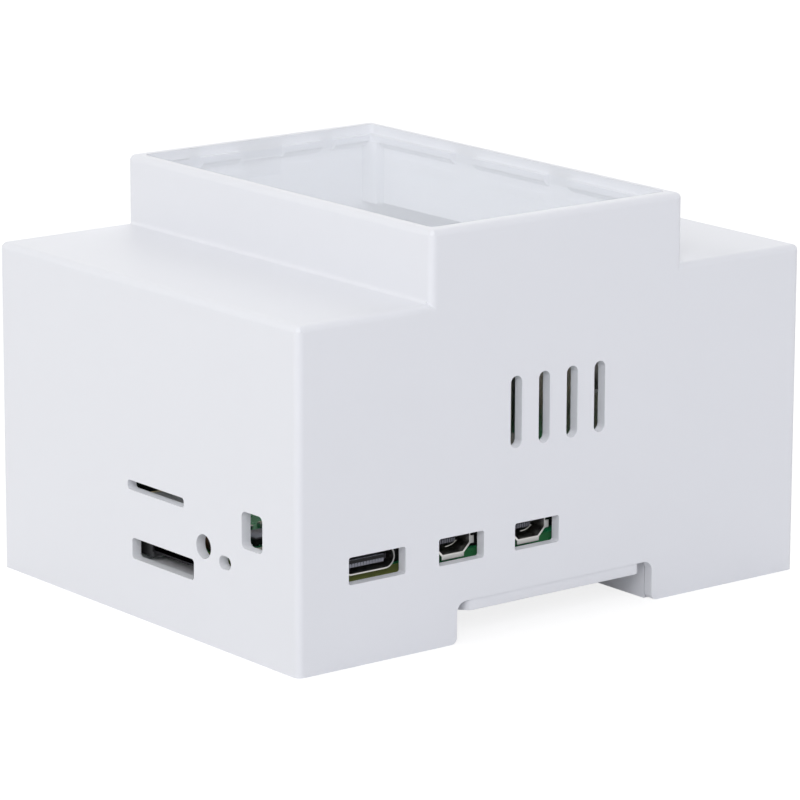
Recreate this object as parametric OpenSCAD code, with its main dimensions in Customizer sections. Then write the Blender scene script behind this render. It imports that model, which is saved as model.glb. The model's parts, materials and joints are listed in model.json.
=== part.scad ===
// Rail-mount case for a single-board computer: a stepped one-piece cover with a clear window,
// a snap-in base with a sprung rail clip, and the board that it holds.
// Millimetres, +Z up, origin at the centre of the underside. Ports face -Y, the card slot faces -X.

/* [Board] */
// Length of the circuit board, along the port face
board_l = 85; // [82:0.5:95]
// Depth of the circuit board, away from the port face
board_w = 56; // [55:0.5:64]
// Thickness of the circuit board
board_t = 1.5; // [1.2:0.1:1.8]
// Corner radius of the circuit board
board_r = 3; // [1:0.5:4]
// Distance of the mounting holes from the board's edges
hole_inset = 3.5; // [3.2:0.1:4]
// Distance between the mounting holes along the board
hole_span = 58; // [56:0.5:60]
// Diameter of the mounting holes
hole_d = 2.7; // [2.5:0.1:3]
// Height of the board's underside above the base
board_lift = 3.2; // [2.8:0.1:6]

/* [Cover] */
// Wall of the cover
wall = 1.5; // [1.3:0.1:1.9]
// Height of the cover's shoulders
shoulder_h = 48.2; // [44:0.2:56]
// Height of the raised block above the shoulders
raise_h = 10.2; // [8:0.2:16]
// Length of the raised block
raised_l = 45; // [40:0.5:56]
// Radius of the outer edges
edge_r = 1; // [0.6:0.1:1.2]
// Fillet between shoulder and raised block
shoulder_fillet_r = 0.6; // [0.3:0.1:1.5]
// Gap between the board's end and the inner wall
end_gap = 0.7; // [0.6:0.1:1.5]
// Gap between the board's front edge and the inner wall
front_gap = 1.55; // [1.3:0.05:2]
// Wiring space behind the board
back_room = 10.45; // [6:0.05:16]

/* [Window] */
// Thickness of the clear panel
panel_t = 1.4; // [1:0.1:2]
// Gap round the clear panel
panel_gap = 0.15; // [0.1:0.05:0.3]
// Extra width of the rim over the wall at the block's sides
rim_side = 0.1; // [0.1:0.05:0.3]
// Extra width of the rim over the wall at the block's ends
rim_end = 0.5; // [0.4:0.05:0.8]
// Height of the lugs that carry the panel
lug_h = 1.8; // [1.5:0.1:3]
// Reach of the lugs under the panel
lug_out = 1; // [0.6:0.1:1.4]
// Length of the middle lug on each side
lug_mid_l = 16.4; // [12:0.2:20]
// Gap between neighbouring lugs on the sides
lug_gap = 5; // [4:0.5:7]
// Length of the lugs on the ends
lug_end_l = 7; // [5:0.5:8]
// Width of the panel's snap hooks
hook_w = 6; // [4:0.5:8]

/* [Vents] */
// Number of vent slots
vent_n = 4; // [2:1:6]
// Distance between vent slots
vent_pitch = 5; // [4:0.5:6]
// Width of a vent slot
vent_w = 2; // [1.5:0.1:2.5]
// Height of a vent slot
vent_h = 10.2; // [6:0.2:14]
// Height of the slots' centre
vent_z = 31.25; // [29:0.25:34]

/* [Rail] */
// Width of the mounting rail
rail_w = 35; // [34.8:0.1:35.2]
// Clearance of the rail in its channel, each side
rail_play = 0.2; // [0.1:0.05:0.4]
// Height of the seat pad that the rail bears on
rail_seat_z = 3.9; // [3.6:0.1:4.4]
// Space between seat pad and hooks for the rail's flange
flange_gap = 1.4; // [1.2:0.1:1.6]
// Height of the rail notch in the cover
notch_h = 5.9; // [5.6:0.1:7]
// Reach of the hook and of the clip under the rail
hook_out = 1.8; // [1.2:0.1:2.2]
// Thickness of the base's walls and floors
base_t = 1.5; // [1.2:0.1:1.8]
// Gap between base and cover
fit_gap = 0.15; // [0.1:0.05:0.3]
// Half width of the rail clip
clip_half_w = 10; // [8:0.5:12]
// Travel of the rail clip
clip_travel = 4; // [3:0.5:5]

/* [Sockets] */
// How far the end sockets stand back from the cover's outer face
socket_recess = 0.1; // [0.1:0.1:0.4]
// How far the end sockets stand past the board's end
socket_overhang = 2.7; // [2.5:0.1:3.5]
// Clearance of the end sockets in the cover
socket_play = 0.4; // [0.2:0.1:0.6]
// Centre of the power socket from the board's end
power_x = 11.2; // [10.5:0.1:12]
// Centre of the left video socket from the board's end
video_left_x = 25.8; // [25:0.1:26.5]
// Centre of the right video socket from the board's end
video_right_x = 39.2; // [39:0.1:40.2]
// Centre of the network jack from the board's front edge
network_y = 10.2; // [10:0.1:10.6]
// Centre of the front data socket stack from the board's front edge
data_front_y = 29.1; // [28:0.1:30]
// Centre of the back data socket stack from the board's front edge
data_back_y = 47; // [46:0.1:47.5]
// Centre of the power button from the board's front edge
button_y = 18.35; // [17.5:0.05:19.5]
// Centre of the status light from the board's front edge
light_y = 13.4; // [12:0.1:14]
// Centre of the side ribbon connector from the board's front edge
side_ribbon_y = 29.65; // [29:0.05:31]
// Travel of the power button
button_travel = 0.25; // [0.2:0.05:0.3]
// Travel of the ribbon latches
latch_travel = 1; // [0.6:0.1:1.2]

/* [Hidden] */
$fn = 48;
eps = 0.02;
over = 1;

// Overall sizes, worked out from the board that the case wraps
case_l = wall + end_gap + board_l + socket_overhang + socket_recess;
case_w = 2 * wall + front_gap + board_w + back_room;
case_h = shoulder_h + raise_h;
inner_x = case_l / 2 - wall;
inner_y = case_w / 2 - wall;

// Heights from the rail up to the board
ceiling_gap = 0.1;
base_ceiling = notch_h + ceiling_gap;
base_top = base_ceiling + base_t;
board_z = base_top + board_lift;
board_top = board_z + board_t;

// Place of the board's front left corner
board_x0 = -inner_x + end_gap;
board_y0 = -inner_y + front_gap;
far_hole_x = hole_inset + hole_span;
back_hole_y = board_w - hole_inset;
hole_xs = [hole_inset, far_hole_x];
hole_ys = [hole_inset, back_hole_y];
screw_head_d = 4.6;
screw_head_h = 1.6;
screw_play = 0.3;

// Window opening and panel
open_l = raised_l - 2 * (wall + rim_side);
open_w = case_w - 2 * (wall + rim_end);
open_r = 0.8;
panel_l = open_l - 2 * panel_gap;
panel_w = open_w - 2 * panel_gap;
panel_z = case_h - panel_t;
rim_step = 0.2;
rim_h = panel_t + lug_h - rim_step;
lug_hook_gap = 1;
lug_end_x = hook_w / 2 + lug_hook_gap;
lug_end_gap = 2.4;
post_l = 1.3;
post_w = 3;
hook_drop = 4;
hook_t = 1;
hook_play = 0.1;
hook_reach = panel_gap + rim_end - hook_play;
hook_barb_h = 1;

// Base and channel
base_l = 2 * (inner_x - fit_gap);
base_w = 2 * (inner_y - fit_gap);
channel_half = rail_w / 2 + rail_play;
pad_inset = 1.9;
pad_half = channel_half - pad_inset;
pad_r = 2;
hook_top = rail_seat_z - flange_gap;
hook_l = 50;
post_d = 6;
pilot_d = 2.2;
pilot_floor = 0.3;
pilot_depth = board_z - base_ceiling - pilot_floor;
bead_z = 5.1;
bead_h = 1.2;
bead_out = 0.45;
bead_l = 12;
bead_y = 22;
bead_play = 0.15;

// Rail clip: a slider with a flange that runs over two lips of the base
clip_play = 0.2;
clip_z = 0.3;
clip_t = 3;
clip_top = clip_z + clip_t;
clip_flange_t = 1.9;
clip_flange_z = clip_top - clip_flange_t;
clip_step = 2.5;
clip_tip_h = 0.9;
clip_end = case_l / 2 - socket_recess;
clip_bay_top = clip_top + clip_play;
lip_top = clip_flange_z - clip_play;
spring_d = 2.6;
spring_wire = 0.4;
spring_turns = 9;
spring_seat = 0.05;
spring_room = 3.4;
spring_l = clip_travel + spring_turns * spring_wire + spring_room;
spring_setback = 5;
spring_x0 = channel_half + base_t + spring_setback;
spring_z = clip_z + clip_t / 2;
peg_x = spring_x0 + spring_l;
peg_l = 1.8;
peg_half = 1.3;
window_half = 1.8;
grip_w = 6;
grip_h = 1.2;
grip_depth = 2.5;

// Front sockets
socket_set_back = 0.4;
socket_front_y = -inner_y + socket_set_back;
port_r = 0.35;
port_drop = 0.65;
port_h = 3.85;
power_port_w = 9.7;
video_port_w = 7.9;
power_w = 8.94;
power_h = 3.2;
power_depth = 7.3;
power_tongue_size = [6.7, 5, 0.7];
video_w = 6.1;
video_h = 3.1;
video_depth = 7.5;
video_chamfer = 1.1;
video_tongue_size = [3.9, 3.8, 0.6];
video_tongue_z = 1.75;
video_lip_out = 0.65;
video_lip_drop = 0.55;
video_lip_z = 1.1;
video_lip_h = 1.05;
sheet_t = 0.2;

// End sockets
socket_front_x = case_l / 2 - socket_recess;
network_w = 16;
network_h = 13.5;
network_depth = 21.3;
plug_w = 11.8;
plug_h = 8.2;
plug_z = 3.6;
plug_depth = 13;
tab_w = 6.2;
tab_h = 2;
light_w = 2.6;
light_h = 1.8;
light_edge = 0.5;
light_rise = 1.4;
jack_mouth_play = 0.25;
contact_n = 8;
contact_pitch = 1.02;
contact_w = 0.45;
contact_tip = 3;
contact_root = 9;
contact_drop = 3.2;
contact_t = 0.35;
data_w = 13.9;
data_h = 16;
data_depth = 17.5;
data_port_w = 13;
data_port_h = 5.6;
data_port_zs = [1.1, 9.2];
data_back_t = 3.5;
data_port_depth = data_depth - data_back_t;
tongue_w = 11.1;
tongue_h = 1.9;
tongue_set_back = 4.5;
tongue_l = data_port_depth - tongue_set_back;

// Card slot, ribbon slot and small holes in the card face
card_port_w = 14.7;
card_port_h = 3;
card_port_rise = 0.7;
card_w = 12;
card_l = 12;
card_h = 1.5;
card_mouth_w = 11.2;
card_mouth_h = 0.9;
side_port_r = 0.5;
ribbon_port_w = 13.4;
ribbon_port_h = 1.4;
ribbon_port_z = 6.7;
guide_l = 8;
guide_gap = 1.5;
guide_top = board_z - card_h - guide_gap;
button_z = 1.56;
button_hole_d = 3.45;
light_z = 0.33;
light_hole_w = 2.75;
light_hole_h = 1.9;
cable_port_y = 7.2;
cable_port_z = 5.9;
cable_port_w = 4.7;
cable_port_h = 5.2;
cable_port_r = 0.8;

// Ribbon connectors
ribbon_body_h = 3.6;
ribbon_w = 4.2;
ribbon_slot_w = 0.7;
latch_h = 1;
latch_play = 0.1;
latch_leg_t = 0.8;
latch_hold = 1.4;
latch_leg_h = latch_travel + latch_hold;
side_ribbon_x = 3.9;
side_ribbon_l = 13.4;
ribbon_room = far_hole_x - screw_head_d / 2 - video_right_x - video_w / 2;
ribbon_gap = (ribbon_room - 2 * ribbon_w) / 3;
ribbon_left_x = video_right_x + video_w / 2 + ribbon_gap + ribbon_w / 2;
ribbon_right_x = ribbon_left_x + ribbon_w + ribbon_gap;
ribbon_y = 9.6;
ribbon_l = 16;

// Pin header
header_pitch = 2.54;
header_clear = 1.2;
header_columns = floor((hole_span - screw_head_d - 2 * header_clear) / header_pitch);
header_rows = 2;
header_x = hole_inset + hole_span / 2;
header_h = 2.5;
pin_w = 0.64;
pin_h = 8.5;

// Button and status light
button_size = [3.2, 4.6, 3.1];
button_inset = 0.25;
plunger_reach = 0.45;
plunger_inside = 0.8;
plunger_w = 1.6;
plunger_h = 1;
plunger_play = 0.1;
status_size = [0.9, 1.7, 0.65];
status_inset = 0.05;

// Chips and small parts: place on the board and size
processor_at = [28.5, 29];
processor_w = 17;
processor_base_h = 0.7;
memory_at = [43.5, 29];
memory_size = [10, 15, 1];
io_at = [57.5, 33];
io_size = [10, 10, 0.9];
network_chip_at = [61, 21];
network_chip_size = [6, 6, 0.9];
power_chip_at = [14.5, 15];
power_chip_size = [6, 6, 0.85];
radio_set_back = 12;
radio_at = [12.5, back_hole_y - radio_set_back];
radio_size = [10, 12.5, 1.7];
inductor_xs = [8.2, 20.6];
inductor_ys = [11.2, 15.6];
capacitor_x = 39;
capacitor_y = (memory_at.y + memory_size.y / 2 + back_hole_y - header_pitch) / 2;
capacitor_n = 5;
capacitor_pitch = 4.6;
capacitor_size = [3.5, 2.8, 1.9];
fan_size = [3, 6];
fan_gap = 1.7;
fan_set_back = 5;
fan_x = socket_front_x - board_x0 - data_depth - fan_gap - fan_size.x / 2;
fan_at = [fan_x, back_hole_y - fan_set_back];
battery_at = [19, 2.4];
battery_size = [4, 3];
serial_at = [32.5, 2.4];
serial_size = [5, 3];
extra_power_at = [53.2, 22];

// Colours
white_plastic = [0.90, 0.905, 0.92];
board_green = [0.08, 0.42, 0.26];
nickel = [0.75, 0.75, 0.74];
black_plastic = [0.06, 0.06, 0.065];
gold = [0.83, 0.66, 0.28];
cream_plastic = [0.90, 0.88, 0.80];
brown_plastic = [0.15, 0.10, 0.08];

// Flat shapes

// Rectangle about the origin with four equal corner radii
module rounded_rect(w, h, r) {
    square([w - 2 * r, h], center = true);
    square([w, h - 2 * r], center = true);
    for (sx = [-1, 1], sy = [-1, 1])
        translate([sx * (w / 2 - r), sy * (h / 2 - r)]) circle(r);
}

// Slot about the origin with full round ends, longer along its second side
module upright_slot(w, h) {
    square([w, h - w], center = true);
    for (s = [-1, 1]) translate([0, s * (h - w) / 2]) circle(d = w);
}

// Rectangle that stands on the axis, with its two top corners rounded
module arch_rect(w, h, r) {
    translate([-w / 2, 0]) square([w, h - r]);
    translate([-w / 2 + r, 0]) square([w - 2 * r, h]);
    for (s = [-1, 1]) translate([s * (w / 2 - r), h - r]) circle(r);
}

// Solids from flat shapes

// Runs a flat shape in Y and Z along X
module along_x(l) {
    rotate([90, 0, 90]) linear_extrude(l) children();
}

// Runs a flat shape in X and Z along Y
module along_y(l) {
    rotate([90, 0, 0]) mirror([0, 0, 1]) linear_extrude(l) children();
}

// Block about the Z axis, standing on z = 0
module plinth(w, d, h) {
    translate([-w / 2, -d / 2, 0]) cube([w, d, h]);
}

// Places a piece on the board's top face, from the board's front left corner
module on_board(x, y) {
    translate([board_x0 + x, board_y0 + y, board_top]) children();
}

// Places a front socket, with its mouth in the plane of the inner wall
module at_front(x) {
    translate([board_x0 + x, socket_front_y, board_top]) children();
}

// Places an end socket of the given depth, with its mouth just inside the outer face
module at_end(y, depth) {
    translate([socket_front_x - depth, board_y0 + y, board_top]) children();
}

// Cover

// Arch across a block from corner to corner, which rounds the top of two upright edges
module corner_arch(l, h, turn) {
    flat_run = (l + case_w - 4 * edge_r) / sqrt(2);
    depth = l + case_w;
    rotate(turn)
        translate([0, -depth / 2, 0])
            along_y(depth) arch_rect(flat_run + 2 * (edge_r + eps), h, edge_r);
}

// Block with rounded upright and top edges and soft top corners
module soft_block(l, h) {
    intersection() {
        linear_extrude(h) rounded_rect(l, case_w, edge_r);
        translate([0, -case_w / 2 - over, 0]) along_y(case_w + 2 * over) arch_rect(l, h, edge_r);
        translate([-l / 2 - over, 0, 0]) along_x(l + 2 * over) arch_rect(case_w, h, edge_r);
        corner_arch(l, h, 45);
        corner_arch(l, h, -45);
    }
}

// Fillets where the shoulders meet the raised block
module shoulder_fillets() {
    for (s = [0, 1]) mirror([s, 0, 0])
        translate([raised_l / 2, -case_w / 2 + edge_r, shoulder_h])
            along_y(case_w - 2 * edge_r)
                difference() {
                    translate([-eps, -eps]) square(shoulder_fillet_r + eps);
                    translate([shoulder_fillet_r, shoulder_fillet_r]) circle(shoulder_fillet_r);
                }
}

module cover_outer() {
    soft_block(case_l, shoulder_h);
    soft_block(raised_l, case_h);
    shoulder_fillets();
}

module cover_cavity() {
    translate([0, 0, -over]) plinth(2 * inner_x, 2 * inner_y, shoulder_h - wall + over);
    plinth(raised_l - 2 * wall, 2 * inner_y, case_h - rim_h);
    linear_extrude(case_h + over) rounded_rect(open_l, open_w, open_r);
}

// Cut-outs of the port face: sockets, and vents that go through both long walls
module front_ports() {
    port_z = board_top - port_drop + port_h / 2;
    for (p = [[power_x, power_port_w], [video_left_x, video_port_w], [video_right_x, video_port_w]])
        translate([board_x0 + p[0], -case_w / 2 - over, port_z])
            along_y(wall + 2 * over) rounded_rect(p[1], port_h, port_r);
    for (i = [0 : vent_n - 1])
        translate([(i - (vent_n - 1) / 2) * vent_pitch, -case_w / 2 - over, vent_z])
            along_y(case_w + 2 * over) upright_slot(vent_w, vent_h);
}

// Cut-outs of the card face
module card_ports() {
    translate([-case_l / 2 - over, board_y0, 0]) {
        translate([0, board_w / 2, board_z + card_port_rise - card_port_h / 2])
            along_x(wall + 2 * over) rounded_rect(card_port_w, card_port_h, side_port_r);
        translate([0, side_ribbon_y, board_top + ribbon_port_z])
            along_x(wall + 2 * over) rounded_rect(ribbon_port_w, ribbon_port_h, side_port_r);
        translate([0, button_y, board_top + button_z])
            along_x(wall + 2 * over) circle(d = button_hole_d);
        translate([0, light_y, board_top + light_z])
            along_x(wall + 2 * over) rotate(90) upright_slot(light_hole_h, light_hole_w);
        translate([0, cable_port_y, board_top + cable_port_z])
            along_x(wall + 2 * over) rounded_rect(cable_port_w, cable_port_h, cable_port_r);
    }
}

// Cut-outs of the far end: network jack, data sockets and the clip's tab
module end_ports() {
    sockets = [
        [network_y, network_w, network_h],
        [data_front_y, data_w, data_h],
        [data_back_y, data_w, data_h]
    ];
    for (p = sockets)
        translate([inner_x - over, board_y0 + p[0], board_top + p[2] / 2])
            along_x(wall + 2 * over)
                rounded_rect(p[1] + 2 * socket_play, p[2] + 2 * socket_play, port_r);
    tab_half = clip_half_w + clip_play;
    translate([inner_x - over, -tab_half, -over]) cube([wall + 2 * over, 2 * tab_half, clip_bay_top + over]);
}

// Rail notch through both long walls, with soft corners above and below
module rail_notch() {
    notch_r = 1.5;
    foot_r = 1;
    translate([0, -case_w / 2 - over, 0])
        along_y(case_w + 2 * over) {
            translate([0, -over]) arch_rect(2 * channel_half, notch_h + over, notch_r);
            for (s = [0, 1]) mirror([s, 0])
                translate([channel_half, 0])
                    difference() {
                        translate([-eps, -eps]) square(foot_r + eps);
                        translate([foot_r, foot_r]) circle(foot_r);
                    }
        }
}

// Lug with a sloped underside, run along Y from the origin, reaching in -X
module lug(l) {
    slope = lug_h / 2;
    along_y(l)
        polygon([[over / 2, -lug_h], [0, -lug_h], [-lug_out, -lug_h + slope], [-lug_out, 0], [over / 2, 0]]);
}

// Lugs and corner posts that carry the panel
module panel_lugs() {
    side_x = open_l / 2;
    end_y = open_w / 2;
    for (sx = [0, 1]) mirror([sx, 0, 0]) {
        translate([side_x, -lug_mid_l / 2, panel_z]) lug(lug_mid_l);
        for (sy = [0, 1]) mirror([0, sy, 0]) {
            translate([side_x, lug_mid_l / 2 + lug_gap, panel_z])
                lug(end_y - lug_mid_l / 2 - lug_gap);
            translate([side_x - post_l, end_y - post_w, shoulder_h - wall])
                cube([post_l + wall / 2, post_w + wall / 2, panel_z - lug_h / 2 - shoulder_h + wall]);
            translate([lug_end_x + lug_end_l, end_y, panel_z]) rotate(90) lug(lug_end_l);
            translate([side_x, end_y, panel_z])
                rotate(90) lug(side_x - lug_end_x - lug_end_l - lug_end_gap);
        }
    }
}

// Beads inside the end walls that the base snaps over
module snap_bead(grow) {
    for (sx = [0, 1], sy = [-1, 1]) mirror([sx, 0, 0])
        translate([inner_x + eps, sy * bead_y - bead_l / 2 - grow, bead_z])
            along_y(bead_l + 2 * grow)
                polygon([
                    [0, -bead_h / 2 - grow],
                    [0, bead_h / 2 + grow],
                    [-bead_out - eps - grow, 0]
                ]);
}

module cover_shell() {
    color(white_plastic) {
        difference() {
            cover_outer();
            cover_cavity();
            front_ports();
            card_ports();
            end_ports();
            rail_notch();
        }
        panel_lugs();
        snap_bead(0);
    }
}

// Clear panel with a snap hook at each end
module window_panel() {
    color([0.85, 0.92, 0.97, 0.35]) {
        translate([0, 0, panel_z]) linear_extrude(panel_t) rounded_rect(panel_l, panel_w, open_r);
        for (sy = [0, 1]) mirror([0, sy, 0])
            translate([-hook_w / 2, panel_w / 2, panel_z])
                along_x(hook_w)
                    polygon([
                        [0, eps],
                        [-hook_t, eps],
                        [-hook_t, -hook_drop],
                        [-hook_t / 4, -hook_drop],
                        [hook_reach, -hook_drop + hook_barb_h],
                        [hook_reach, panel_t - rim_h - hook_play],
                        [0, panel_t - rim_h - hook_play]
                    ]);
    }
}

// Base

// Bay that the clip runs in, open below, with a lip each side
module clip_bay() {
    bay_half = clip_half_w + clip_play;
    bay_x = channel_half - over;
    bay_l = base_l / 2 + over - bay_x;
    translate([bay_x, -bay_half, lip_top]) cube([bay_l, 2 * bay_half, clip_bay_top - lip_top]);
    mouth_half = bay_half - clip_step;
    translate([bay_x, -mouth_half, -over]) cube([bay_l, 2 * mouth_half, lip_top + 2 * over]);
}

// Housing round the clip's bay, with the peg that the spring bears on
module clip_housing() {
    half = clip_half_w + clip_play + base_t;
    translate([channel_half, -half, 0]) cube([base_l / 2 - channel_half, 2 * half, clip_bay_top + base_t]);
}

module spring_peg() {
    translate([peg_x, -peg_half, clip_z + clip_play])
        cube([peg_l, 2 * peg_half, clip_bay_top - clip_z]);
}

// Two trays joined over the rail channel
module base_trays() {
    difference() {
        plinth(base_l, base_w, base_top);
        for (s = [0, 1]) mirror([s, 0, 0])
            translate([channel_half + base_t, -base_w / 2 + base_t, base_t])
                cube([base_l / 2 - channel_half - 2 * base_t, base_w - 2 * base_t, base_top]);
        translate([-pad_half + base_t, -base_w / 2 + base_t, rail_seat_z + base_t])
            cube([2 * (pad_half - base_t), base_w - 2 * base_t, base_top]);
    }
}

// Ribs that stiffen the plate over the rail
module seat_ribs() {
    rib_n = 3;
    for (i = [1 : rib_n])
        translate([0, -base_w / 2 + i * base_w / (rib_n + 1), rail_seat_z + base_t - eps])
            plinth(2 * pad_half - base_t, base_t, base_top - rail_seat_z - base_t + eps);
}

// Groove each side of the seat pad, open below, and the channel under the pad
module rail_channel() {
    difference() {
        translate([0, 0, -over]) plinth(2 * channel_half, base_w + 2 * over, base_ceiling + over);
        translate([0, 0, rail_seat_z])
            linear_extrude(base_ceiling) rounded_rect(2 * pad_half, base_w, pad_r);
    }
}

module board_posts() {
    for (x = hole_xs, y = hole_ys)
        translate([board_x0 + x, board_y0 + y, 0]) cylinder(d = post_d, h = board_z);
}

module post_pilots() {
    for (x = hole_xs, y = hole_ys)
        translate([board_x0 + x, board_y0 + y, board_z - pilot_depth])
            cylinder(d = pilot_d, h = pilot_depth + over);
}

// Step under the card slot that leads a card up to its socket, hollow from below
module card_guide(inset) {
    guide_w = card_port_w - 2 * inset;
    translate([-base_l / 2 + inset, board_y0 + board_w / 2 - guide_w / 2, -inset])
        cube([guide_l - 2 * inset, guide_w, guide_top]);
}

// Fixed hook with a lead-in, along the channel wall opposite the clip
module rail_hook() {
    translate([-channel_half, -hook_l / 2, 0])
        along_y(hook_l)
            polygon([
                [-eps, 0],
                [hook_out / 3, 0],
                [hook_out, clip_tip_h],
                [hook_out, hook_top],
                [-eps, hook_top]
            ]);
}

module rail_base() {
    color(white_plastic) {
        difference() {
            union() {
                base_trays();
                seat_ribs();
                board_posts();
                clip_housing();
                card_guide(0);
            }
            rail_channel();
            clip_bay();
            card_guide(base_t);
            post_pilots();
            snap_bead(bead_play);
        }
        rail_hook();
        spring_peg();
    }
}

// Sliding clip: a flanged bar with a ramped nose, a window for its spring and a grip slot
module rail_clip() {
    body_x = channel_half + clip_play;
    body_l = clip_end - body_x;
    narrow_half = clip_half_w - clip_step;
    nose_top = hook_top;
    color([0.86, 0.865, 0.88])
        difference() {
            union() {
                translate([body_x, -clip_half_w, clip_flange_z])
                    cube([body_l, 2 * clip_half_w, clip_flange_t]);
                translate([body_x, -narrow_half, clip_z])
                    cube([body_l, 2 * narrow_half, clip_t]);
                translate([0, -narrow_half, 0])
                    along_y(2 * narrow_half)
                        polygon([
                            [body_x + eps, clip_z],
                            [channel_half - hook_out / 3, clip_z],
                            [channel_half - hook_out, clip_z + clip_tip_h],
                            [channel_half - hook_out, nose_top],
                            [body_x + eps, nose_top]
                        ]);
            }
            translate([spring_x0 - spring_seat, -window_half, -over])
                cube([spring_l + peg_l + 2 * spring_seat, 2 * window_half, clip_top + 2 * over]);
            translate([clip_end - grip_depth, -grip_w / 2, clip_top - grip_h - (clip_t - grip_h) / 2])
                cube([grip_depth + over, grip_w, grip_h]);
        }
}

// Coil spring between the clip's window and the base's peg
module clip_spring() {
    steps = 12;
    sides = 6;
    coil_r = (spring_d - spring_wire) / 2;
    count = steps * spring_turns;
    run = spring_l - spring_wire - spring_seat;
    function ring_point(i, k) =
        let (turn = 360 * i / steps, tilt = 360 * k / sides)
        let (r = coil_r + spring_wire / 2 * cos(tilt))
        [run * i / count + spring_wire / 2 * sin(tilt), r * cos(turn), r * sin(turn)];
    points = [for (i = [0 : count], k = [0 : sides - 1]) ring_point(i, k)];
    skin = [for (i = [0 : count - 1], k = [0 : sides - 1])
        let (n = (k + 1) % sides)
        [i * sides + k, i * sides + n, (i + 1) * sides + n, (i + 1) * sides + k]];
    first = [for (k = [sides - 1 : -1 : 0]) k];
    last = [for (k = [0 : sides - 1]) count * sides + k];
    color(nickel)
        translate([spring_x0 + spring_wire / 2, 0, spring_z])
            polyhedron(points, concat(skin, [first, last]));
}

// Pan-head screws with a cross recess, one in each post
module board_screws() {
    shank_play = 0.1;
    shank_d = pilot_d - shank_play;
    tip_gap = 0.4;
    shank_l = board_t + pilot_depth - tip_gap;
    recess_l = 2.6;
    recess_w = 0.6;
    recess_depth = 0.9;
    color(nickel)
        for (x = hole_xs, y = hole_ys)
            on_board(x, y)
                difference() {
                    union() {
                        cylinder(d = screw_head_d, h = screw_head_h);
                        translate([0, 0, -shank_l]) cylinder(d = shank_d, h = shank_l + eps);
                    }
                    for (turn = [0, 90]) rotate(turn)
                        translate([0, 0, screw_head_h - recess_depth])
                            plinth(recess_l, recess_w, recess_depth + over);
                }
}

// Room round the screw heads, cut from whatever stands in their way
module screw_room() {
    for (x = hole_xs, y = hole_ys)
        on_board(x, y) cylinder(d = screw_head_d + 2 * screw_play, h = screw_head_h + screw_play);
}

// Board

module circuit_board() {
    color(board_green)
        translate([0, 0, board_z])
            linear_extrude(board_t)
                translate([board_x0, board_y0])
                    difference() {
                        translate([board_l / 2, board_w / 2]) rounded_rect(board_l, board_w, board_r);
                        for (x = hole_xs, y = hole_ys) translate([x, y]) circle(d = hole_d);
                    }
}

// Power socket: an oval tube of sheet metal with a closed back
module power_socket_shell() {
    inner_w = power_w - 2 * sheet_t;
    inner_h = power_h - 2 * sheet_t;
    color(nickel)
        at_front(power_x)
            translate([0, 0, power_h / 2])
                difference() {
                    along_y(power_depth) rotate(90) upright_slot(power_h, power_w);
                    translate([0, -over, 0])
                        along_y(power_depth - sheet_t + over) rotate(90) upright_slot(inner_h, inner_w);
                }
}

// Plug and tongue inside the power socket
module power_socket_insert() {
    inner_w = power_w - 2 * sheet_t;
    inner_h = power_h - 2 * sheet_t;
    block_l = 1.6;
    tongue = power_tongue_size;
    color(black_plastic)
        at_front(power_x)
            translate([0, power_depth - sheet_t - block_l, power_h / 2]) {
                along_y(block_l) rotate(90) upright_slot(inner_h, inner_w);
                translate([-tongue.x / 2, eps - tongue.y, -tongue.z / 2]) cube(tongue);
            }
}

// Section of a video socket: a rectangle with its lower corners cut back
module video_section(w, h) {
    polygon([
        [-w / 2, h],
        [w / 2, h],
        [w / 2, video_chamfer],
        [w / 2 - video_chamfer, 0],
        [-w / 2 + video_chamfer, 0],
        [-w / 2, video_chamfer]
    ]);
}

// Lips bent out from the mouth of a video socket: one on each side, and one that hangs below
module video_lips() {
    foot_w = video_w - 2 * video_chamfer;
    along_y(sheet_t) {
        for (s = [0, 1]) mirror([s, 0])
            translate([video_w / 2 - sheet_t / 2, video_lip_z])
                square([video_lip_out + sheet_t / 2, video_lip_h]);
        translate([-foot_w / 2, -video_lip_drop]) square([foot_w, video_lip_drop + sheet_t / 2]);
    }
}

module video_shell(x) {
    color(nickel)
        at_front(x) {
            difference() {
                along_y(video_depth) video_section(video_w, video_h);
                translate([0, -over, sheet_t])
                    along_y(video_depth - sheet_t + over)
                        video_section(video_w - 2 * sheet_t, video_h - 2 * sheet_t);
            }
            video_lips();
        }
}

module video_insert(x) {
    block_l = 1.8;
    tongue = video_tongue_size;
    color(black_plastic)
        at_front(x)
            translate([0, video_depth - sheet_t - block_l, sheet_t]) {
                along_y(block_l) video_section(video_w - 2 * sheet_t, video_h - 2 * sheet_t);
                translate([-tongue.x / 2, eps - tongue.y, video_tongue_z - sheet_t]) cube(tongue);
            }
}

module video_socket_left_shell() {
    video_shell(video_left_x);
}

module video_socket_left_insert() {
    video_insert(video_left_x);
}

module video_socket_right_shell() {
    video_shell(video_right_x);
}

module video_socket_right_insert() {
    video_insert(video_right_x);
}

// Memory card socket under the board, its mouth towards the card slot
module card_socket() {
    set_in = 0.3;
    back_t = 1;
    mouth_depth = card_l - back_t;
    color(nickel)
        translate([board_x0 + set_in, board_y0 + board_w / 2, board_z - card_h])
            difference() {
                translate([0, -card_w / 2, 0]) cube([card_l, card_w, card_h]);
                translate([-over, -card_mouth_w / 2, (card_h - card_mouth_h) / 2])
                    cube([mouth_depth + over, card_mouth_w, card_mouth_h]);
            }
}

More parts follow.
